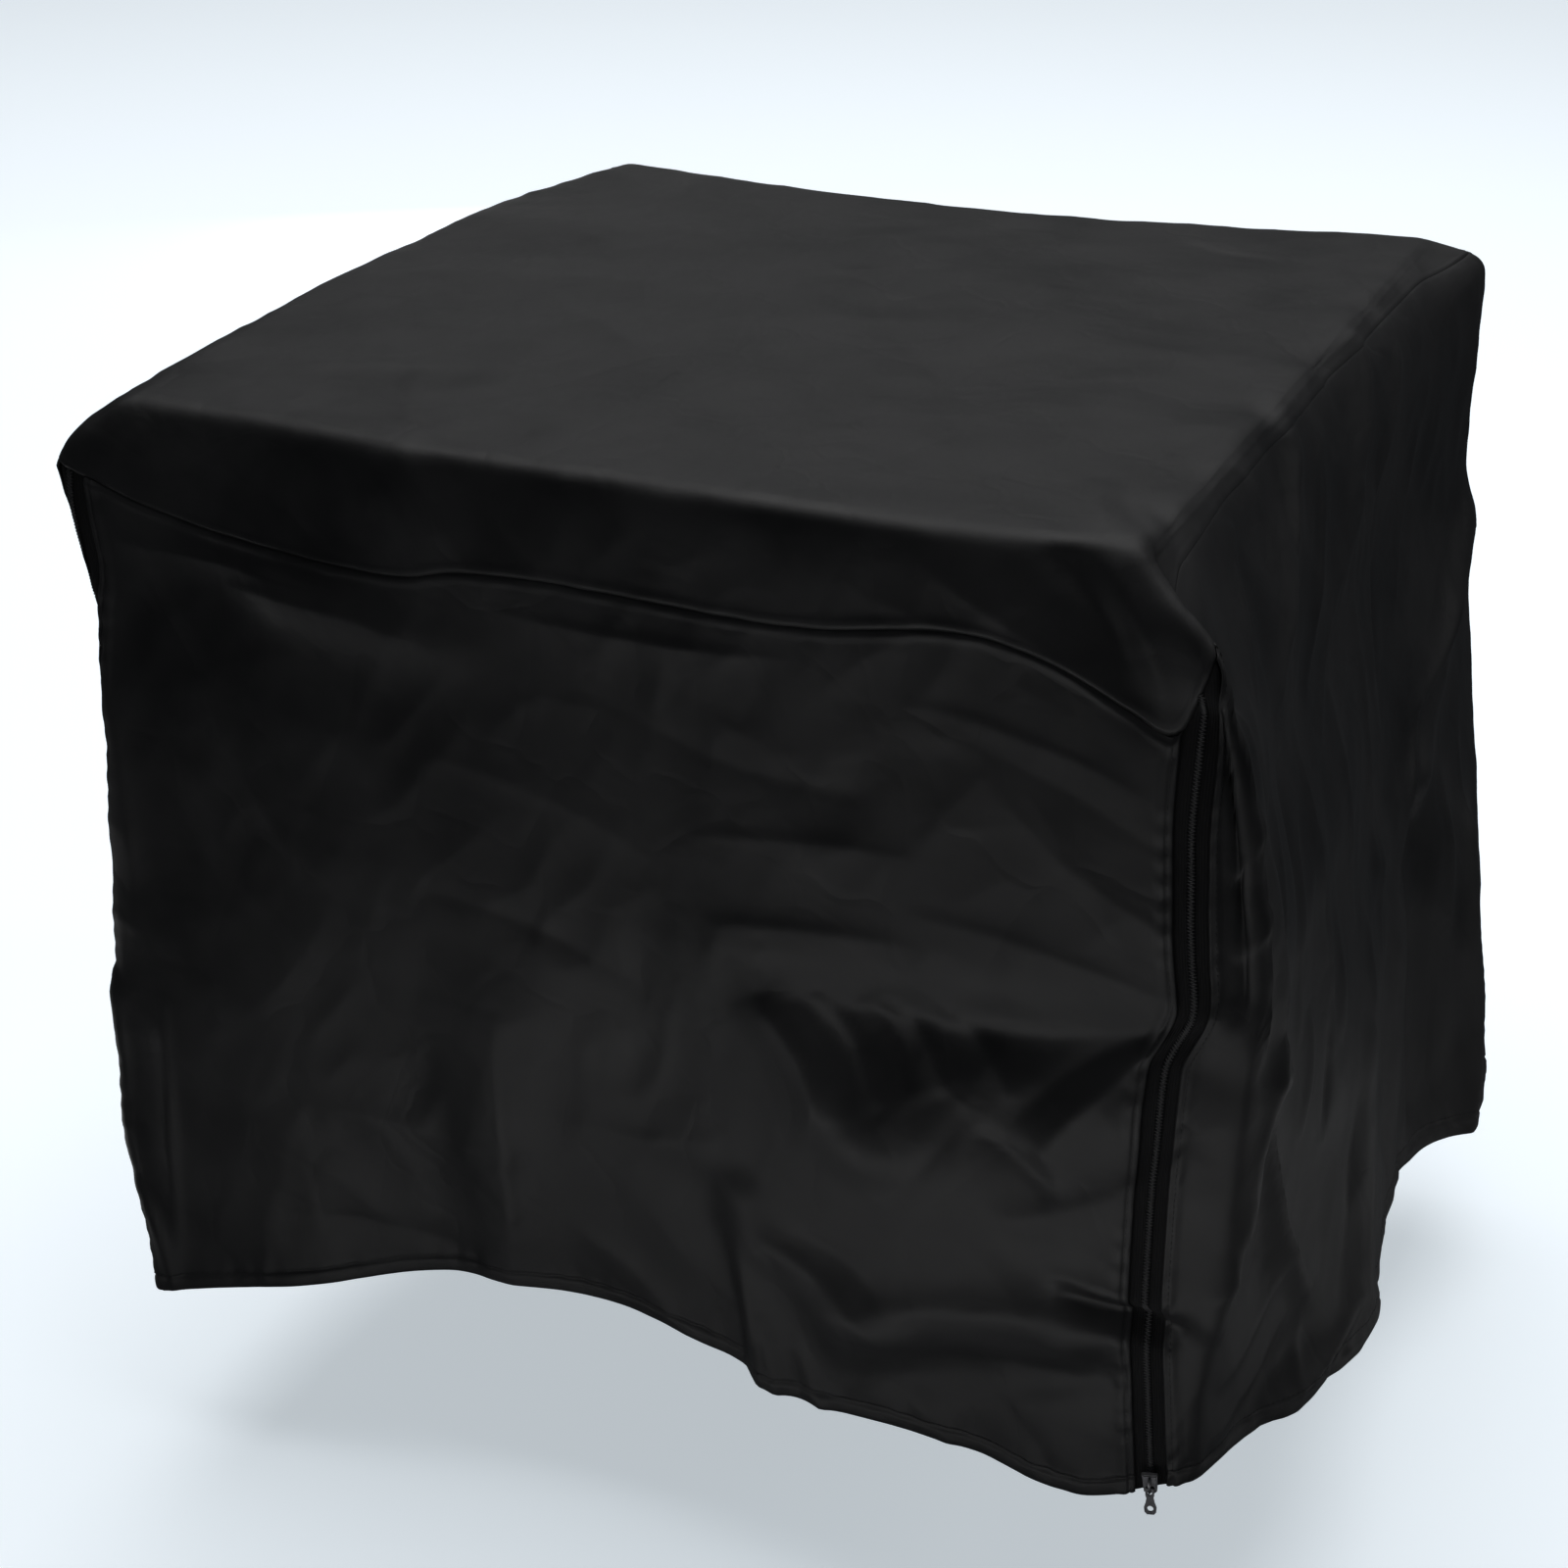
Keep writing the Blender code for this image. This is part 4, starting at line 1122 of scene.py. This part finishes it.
def tape_finish():
    finish = Finish("black_zip_tape")
    on_cloth, across, down = finish.on_cloth()
    ribs = across.waves(RIB_PITCH)
    twill = (down + across).waves(TWILL_PITCH)
    fluff = finish.noise(on_cloth, 700.0, 3.0)
    return finish.principled(
        base_color=finish.mixed(fluff, (0.0046, 0.0046, 0.0049), (0.0088, 0.0088, 0.0093)),
        roughness=0.72 + 0.12 * fluff,
        normal=finish.bumped(ribs * 0.5 + twill * 0.3 + fluff * 0.3, 0.3 * MM, 0.6),
        specular_ior_level=0.12,
    )


tape_cloth = tape_finish()
print("tape finish ready")


# %% [markdown]
# Both tapes of a closed zip lie side by side, so they are one sheet here, from the seam to the hem. It is
# drawn like a wall panel, between two lines beside the middle of the zip.

# %% Zip tapes
HALF_TAPE = 10 * MM
# How far the tape's outer face is from the draped surface, and how thick the tape is
TAPE_FACE = 0.5 * MM
TAPE_THICKNESS = 0.5 * MM
TAPE_LINES = 17
TAPE_ROWS = 200


def lifted(place, level, lift):
    """Points on the folded cloth, lift metres above the draped surface, and the way out of it."""
    base, out, height = folded_cloth(place, level)
    return base + out * (lift + height)[..., None], out


def zip_tape(name, zip_line, left_way):
    """The two tapes of a closed zip in one sheet, from the seam to the hem."""
    across, down = np.linspace(0, 1, TAPE_LINES), np.linspace(0, 1, TAPE_ROWS)
    left_edge, right_edge = (zip_edge(zip_line, way * HALF_TAPE) for way in (left_way, -left_way))
    place, level = wall_grid(left_edge, right_edge, across, down)
    points, _ = lifted(place, level, TAPE_FACE)
    aside = (across - 0.5) * 2 * HALF_TAPE
    cloth_place = np.stack(np.broadcast_arrays(aside[None], -level_length(level) * MM), axis=-1)
    return add_sheet(name, grid_mesh(name, points, cloth_place), tape_cloth, TAPE_THICKNESS)


right_tape = zip_tape("right_tape", right_zip_place, -1)
left_tape = zip_tape("left_tape", left_zip_place, 1)
print("tapes", 2 * HALF_TAPE / MM, "mm wide")


# %% [markdown]
# ## Rows of stitches and coil turns
#
# A stitch and a turn of the coil are the same thing at this size: a short rounded shape, set again and
# again along a line. Geometry Nodes do that with one tree. It cuts the line into even steps, sets a small
# ball on every step, stretched and turned to lie in the cloth, and may move every second one aside, as the
# turns of the two coils lie. The line carries the way out of the cloth as an attribute called `lift`.

# %% The tree that sets a row
ROW_INPUTS = (
    ("Line", "Geometry"),
    ("Spacing", "Float"),
    ("Length", "Float"),
    ("Width", "Float"),
    ("Height", "Float"),
    ("Turn", "Float"),
    ("Aside", "Float"),
    ("Material", "Material"),
)


def row_tree():
    group = bpy.data.node_groups.new("row_along_a_line", "GeometryNodeTree")
    for name, kind in ROW_INPUTS:
        group.interface.new_socket(name, in_out="INPUT", socket_type="NodeSocket" + kind)
    group.interface.new_socket("Row", in_out="OUTPUT", socket_type="NodeSocketGeometry")
    tree = Tree(group)
    source = group.nodes.new("NodeGroupInput")
    given = {name: Wire(tree, source.outputs[name]) for name, _ in ROW_INPUTS}

    line = tree.node("GeometryNodeMeshToCurve", inputs={"Mesh": given["Line"]})
    inputs = {"Curve": line, "Length": given["Spacing"]}
    line = tree.node("GeometryNodeResampleCurve", {"mode": "LENGTH"}, inputs)
    lift = tree.node("GeometryNodeInputNamedAttribute", {"data_type": "FLOAT_VECTOR"}, {"Name": "lift"})
    along = tree.node("GeometryNodeInputTangent")
    side = tree.node("ShaderNodeVectorMath", {"operation": "CROSS_PRODUCT"}, {0: lift, 1: along})
    every_second = tree.node("GeometryNodeInputIndex").maths("MODULO", 2) - 0.5
    inputs = {0: side, "Scale": every_second * given["Aside"]}
    step = tree.node("ShaderNodeVectorMath", {"operation": "SCALE"}, inputs)
    line = tree.node("GeometryNodeSetPosition", inputs={"Geometry": line, "Offset": step})

    ball = tree.node("GeometryNodeMeshUVSphere", inputs={"Segments": 6, "Rings": 4, "Radius": 0.5})
    axes = {"primary_axis": "Z", "secondary_axis": "X"}
    facing = tree.node("FunctionNodeAxesToRotation", axes, {0: lift, 1: along})
    turn = tree.node("FunctionNodeAxisAngleToRotation", inputs={"Axis": (0, 0, 1), "Angle": given["Turn"]})
    facing = tree.node("FunctionNodeRotateRotation", {"rotation_space": "LOCAL"}, {0: facing, 1: turn})
    size = {"X": given["Length"], "Y": given["Width"], "Z": given["Height"]}
    size = tree.node("ShaderNodeCombineXYZ", inputs=size)
    inputs = {"Points": line, "Instance": ball, "Rotation": facing, "Scale": size}
    row = tree.node("GeometryNodeInstanceOnPoints", inputs=inputs)
    row = tree.node("GeometryNodeRealizeInstances", inputs={"Geometry": row})
    row = tree.node("GeometryNodeSetMaterial", inputs={"Geometry": row, "Material": given["Material"]})
    tree.feed(group.nodes.new("NodeGroupOutput").inputs["Row"], row)
    return group


row_group = row_tree()
print("row tree with", len(row_group.nodes), "nodes")


# %% [markdown]
# The tree works as a modifier on a mesh that holds only points and the edges between them. One mesh can
# hold several lines, so all the stitches of a panel are one piece. The mesh that the modifier makes is kept
# and the line is thrown away.

# %% Lay a row
def lay_rows(name, lines, spacing, size, material, turn=0.0, aside=0.0):
    """One mesh of the rows along all the lines. A line is its points and the way out at each."""
    values = (spacing, *size, turn, aside, material)
    settings = dict(zip([socket_name for socket_name, _ in ROW_INPUTS[1:]], values))
    points = np.concatenate([line for line, _ in lines])
    lifts = np.concatenate([lift for _, lift in lines])
    starts = np.cumsum([0] + [len(line) for line, _ in lines])
    edges = [(i, i + 1) for first, last in zip(starts, starts[1:]) for i in range(first, last - 1)]
    mesh = bpy.data.meshes.new(name + "_line")
    mesh.from_pydata(points.tolist(), edges, [])
    mesh.attributes.new("lift", "FLOAT_VECTOR", "POINT").data.foreach_set("vector", lifts.ravel())
    line = new_object(name + "_line", mesh)
    modifier = line.modifiers.new("Row", "NODES")
    modifier.node_group = row_group
    for socket in row_group.interface.items_tree:
        if socket.name in settings:
            modifier[socket.identifier] = settings[socket.name]
    graph = bpy.context.evaluated_depsgraph_get()
    made = bpy.data.meshes.new_from_object(line.evaluated_get(graph))
    bpy.data.objects.remove(line)
    made.name = name
    made.shade_smooth()
    print(name, len(made.polygons), "faces")
    return new_object(name, made)


print("rows take", ", ".join(socket_name for socket_name, _ in ROW_INPUTS))


# %% [markdown]
# The coil is smooth black nylon, shinier than anything else in black here, so it shows as a thin light
# line down each zip.

# %% Coils
COIL_PITCH = 1.5 * MM
# Length, width and height of one turn, and its angle to the zip in degrees
COIL_TURN = (3.2 * MM, 1.05 * MM, 1.0 * MM)
COIL_ANGLE = 83
COIL_ASIDE = 0.7 * MM
# Where the coil starts and stops, as shares of the way from the seam to the hem
COIL_ENDS = (0.003, 0.985)
COIL_LIFT = TAPE_FACE + 0.3 * MM


def coil_finish():
    finish = Finish("black_nylon_coil")
    wear = finish.noise(finish.place(), 240.0, 2.0)
    return finish.principled(
        base_color=finish.mixed(wear, (0.007, 0.007, 0.008), (0.014, 0.014, 0.015)),
        roughness=0.36 + 0.15 * wear,
        specular_ior_level=0.35,
    )


def coil(name, zip_line):
    place, level = seam_to_hem(zip_edge(zip_line, 0), np.linspace(*COIL_ENDS, TAPE_ROWS))
    line = lifted(place, level, COIL_LIFT)
    angle = math.radians(COIL_ANGLE)
    return lay_rows(name, [line], COIL_PITCH / 2, COIL_TURN, coil_nylon, angle, COIL_ASIDE)


coil_nylon = coil_finish()
right_coil = coil("right_coil", right_zip_place)
left_coil = coil("left_coil", left_zip_place)


# %% [markdown]
# Topstitching holds the hem and the folded edges along the zips. It lies in the small groove that it
# pulls into the cloth. Its thread is black too, with a soft shine.

# %% Topstitching
# Length, width and height of one stitch
STITCH = (2.3 * MM, 0.42 * MM, 0.40 * MM)
STITCH_PITCH = 3.0 * MM
HEM_ROW = -1 - HEM_MARKS.index(HEM_STITCHED)
ZIP_COLUMN = ZIP_MARKS.index(ZIP_STITCHED)


def thread_finish():
    finish = Finish("black_thread")
    ply = finish.noise(finish.place(), 900.0, 2.0)
    return finish.principled(
        base_color=finish.mixed(ply, (0.004, 0.004, 0.0045), (0.009, 0.009, 0.010)),
        roughness=0.6,
        specular_ior_level=0.2,
    )


def grid_normals(points):
    along = np.gradient(points, axis=1)
    down = np.gradient(points, axis=0)
    normals = np.cross(down, along)
    return normals / np.linalg.norm(normals, axis=-1, keepdims=True)


def stitch_lines(points, zip_columns):
    """Rows of stitches on a wall: along the hem, and down each edge that is folded back at a zip."""
    normals = grid_normals(points)
    lines = [(points[HEM_ROW], normals[HEM_ROW])]
    lines += [(points[:HEM_ROW, column], normals[:HEM_ROW, column]) for column in zip_columns]
    return lines


def stitches(name, points, zip_columns):
    return lay_rows(name, stitch_lines(points, zip_columns), STITCH_PITCH, STITCH, thread)


thread = thread_finish()
front_stitches = stitches("front_stitches", front_points, (ZIP_COLUMN, -1 - ZIP_COLUMN))
right_stitches = stitches("right_side_stitches", right_points, (ZIP_COLUMN,))
back_stitches = stitches("back_stitches", back_points, ())
left_stitches = stitches("left_side_stitches", left_points, (-1 - ZIP_COLUMN,))


# %% [markdown]
# ## Slider and pull
#
# Each zip ends in a small cast slider with its pull. Their measured solids already have the right shape,
# so they stay, and only their finish is made here: dark plated zinc, rubbed brighter where it is handled.

# %% Slider metal
def slider_finish():
    finish = Finish("dark_plated_zinc")
    place = finish.place()
    rubbed = finish.noise(place, 420.0, 3.0)
    scratches = finish.noise(place, 2600.0, 2.0)
    return finish.principled(
        base_color=finish.mixed(rubbed, (0.05, 0.05, 0.055), (0.26, 0.26, 0.27)),
        roughness=0.26 + 0.2 * scratches,
        normal=finish.bumped(scratches, 0.05 * MM, 0.3),
        metallic=1.0,
    )


slider_metal = slider_finish()
for node_name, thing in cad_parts.items():
    if node_name.endswith(("_slider", "_pull")):
        thing.data.materials.clear()
        thing.data.materials.append(slider_metal)
        print(node_name, "in plated zinc")


# %% [markdown]
# ## What each piece stands for
#
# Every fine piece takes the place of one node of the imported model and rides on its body. Flat sizes are
# what a cutter would mark on the cloth before sewing.

# %% Bodies and cloth facts
panels = (
    (top, "top_panel", (0.53, 0.57), (), ()),
    (front, "front_panel", (0.46, 0.42), (top,), (front_stitches,)),
    (right, "right_side_panel", (0.50, 0.45), (top,), (right_stitches,)),
    (back, "back_panel", (0.52, 0.45), (top,), (back_stitches,)),
    (left, "left_side_panel", (0.50, 0.45), (top,), (left_stitches,)),
    (right_tape, "right_zip_tape", (0.020, 0.38), (right, front), (right_coil,)),
    (left_tape, "left_zip_tape", (0.020, 0.45), (left, front), (left_coil,)),
)
for piece, node, flat, rests_on, with_pieces in panels:
    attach(piece, root)
    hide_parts(node)
    for small in with_pieces:
        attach(small, root)
        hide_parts(node)
    print(piece.name, "stands for", node)


# %% [markdown]
# ## Floor and light
#
# The floor is pale and plain. Most of the light falls from a wide soft box overhead, so the top is the
# lightest face of the black cloth. A white floor would mirror itself in the gloss of the walls and light
# them evenly, which greys them and hides their folds. It is therefore hidden from glossy and diffuse rays,
# as a photographer lays black card where the walls would reflect it.

# %% Floor
FLOOR_LEVEL = -0.535
FLOOR_SIZE = 80


def floor_finish():
    finish = Finish("floor")
    return finish.principled(
        base_color=(0.72, 0.76, 0.80, 1),
        roughness=0.9,
        specular_ior_level=0.0,
        emission_color=(0.86, 0.94, 1.0, 1),
        emission_strength=0.55,
    )


bpy.ops.mesh.primitive_plane_add(size=FLOOR_SIZE, location=(0, 0, FLOOR_LEVEL))
floor = bpy.context.object
floor.name = "floor"
floor.data.materials.append(floor_finish())
floor.visible_glossy = False
floor.visible_diffuse = False
print("floor", -FLOOR_LEVEL, "m below the roof")


# %% [markdown]
# A wide soft box stands behind the cover and a small one to its right, and two weak windows give the front
# and the back a little shape. More small ones lie on the floor at the foot of each wall. They stand in for
# the light that a floor gives back: it grazes the cloth from below, so the folds near the hem show most.

# %% Lights
Softbox = namedtuple("Softbox", "name place target size power")
SOFTBOXES = table(
    Softbox,
    ("overhead", (-0.3, 0.9, 3.2), (0, 0.9, 0), (4.2, 4.0), 126),
    ("behind", (-0.2, 2.6, 1.4), (0, 0, -0.1), (3.0, 0.9), 3),
    ("right", (2.4, 0.9, 0.7), (0.2, 0, -0.2), (0.4, 0.5), 5),
    ("window", (1.1, -2.0, 0.3), (0.1, -0.2, -0.3), (0.6, 0.6), 0.8),
    ("table_front", (0.12, -0.56, -0.53), (0.12, -0.52, 0.5), (0.7, 0.3), 1.25),
    ("table_right", (0.60, 0.0, -0.53), (0.60, 0.01, 0.5), (0.3, 0.8), 0.4),
    ("back_window", (-1.3, 2.0, -0.15), (-0.1, 0.2, -0.3), (0.6, 0.6), 1.2),
    ("table_back", (-0.12, 0.58, -0.53), (-0.12, 0.54, 0.5), (0.4, 0.3), 0.8),
    ("table_left", (-0.60, 0.0, -0.53), (-0.60, 0.01, 0.5), (0.3, 0.8), 1.0),
)
ROOM = (0.86, 0.92, 1.0)
ROOM_STRENGTH = 0.06

for box in SOFTBOXES:
    data = bpy.data.lights.new(box.name, "AREA")
    data.shape = "RECTANGLE"
    data.size, data.size_y = box.size
    data.energy = box.power
    lamp = new_object(box.name, data)
    lamp.location = box.place
    lamp.visible_camera = False
    lamp.rotation_euler = (Vector(box.target) - Vector(box.place)).to_track_quat("-Z", "Y").to_euler()
    print(box.name, box.power, "W")

world = bpy.data.worlds.new("soft_room")
world.use_nodes = True
background = world.node_tree.nodes["Background"]
background.inputs["Color"].default_value = (*ROOM, 1)
background.inputs["Strength"].default_value = ROOM_STRENGTH
bpy.context.scene.world = world
bpy.context.scene.view_settings.view_transform = "Standard"
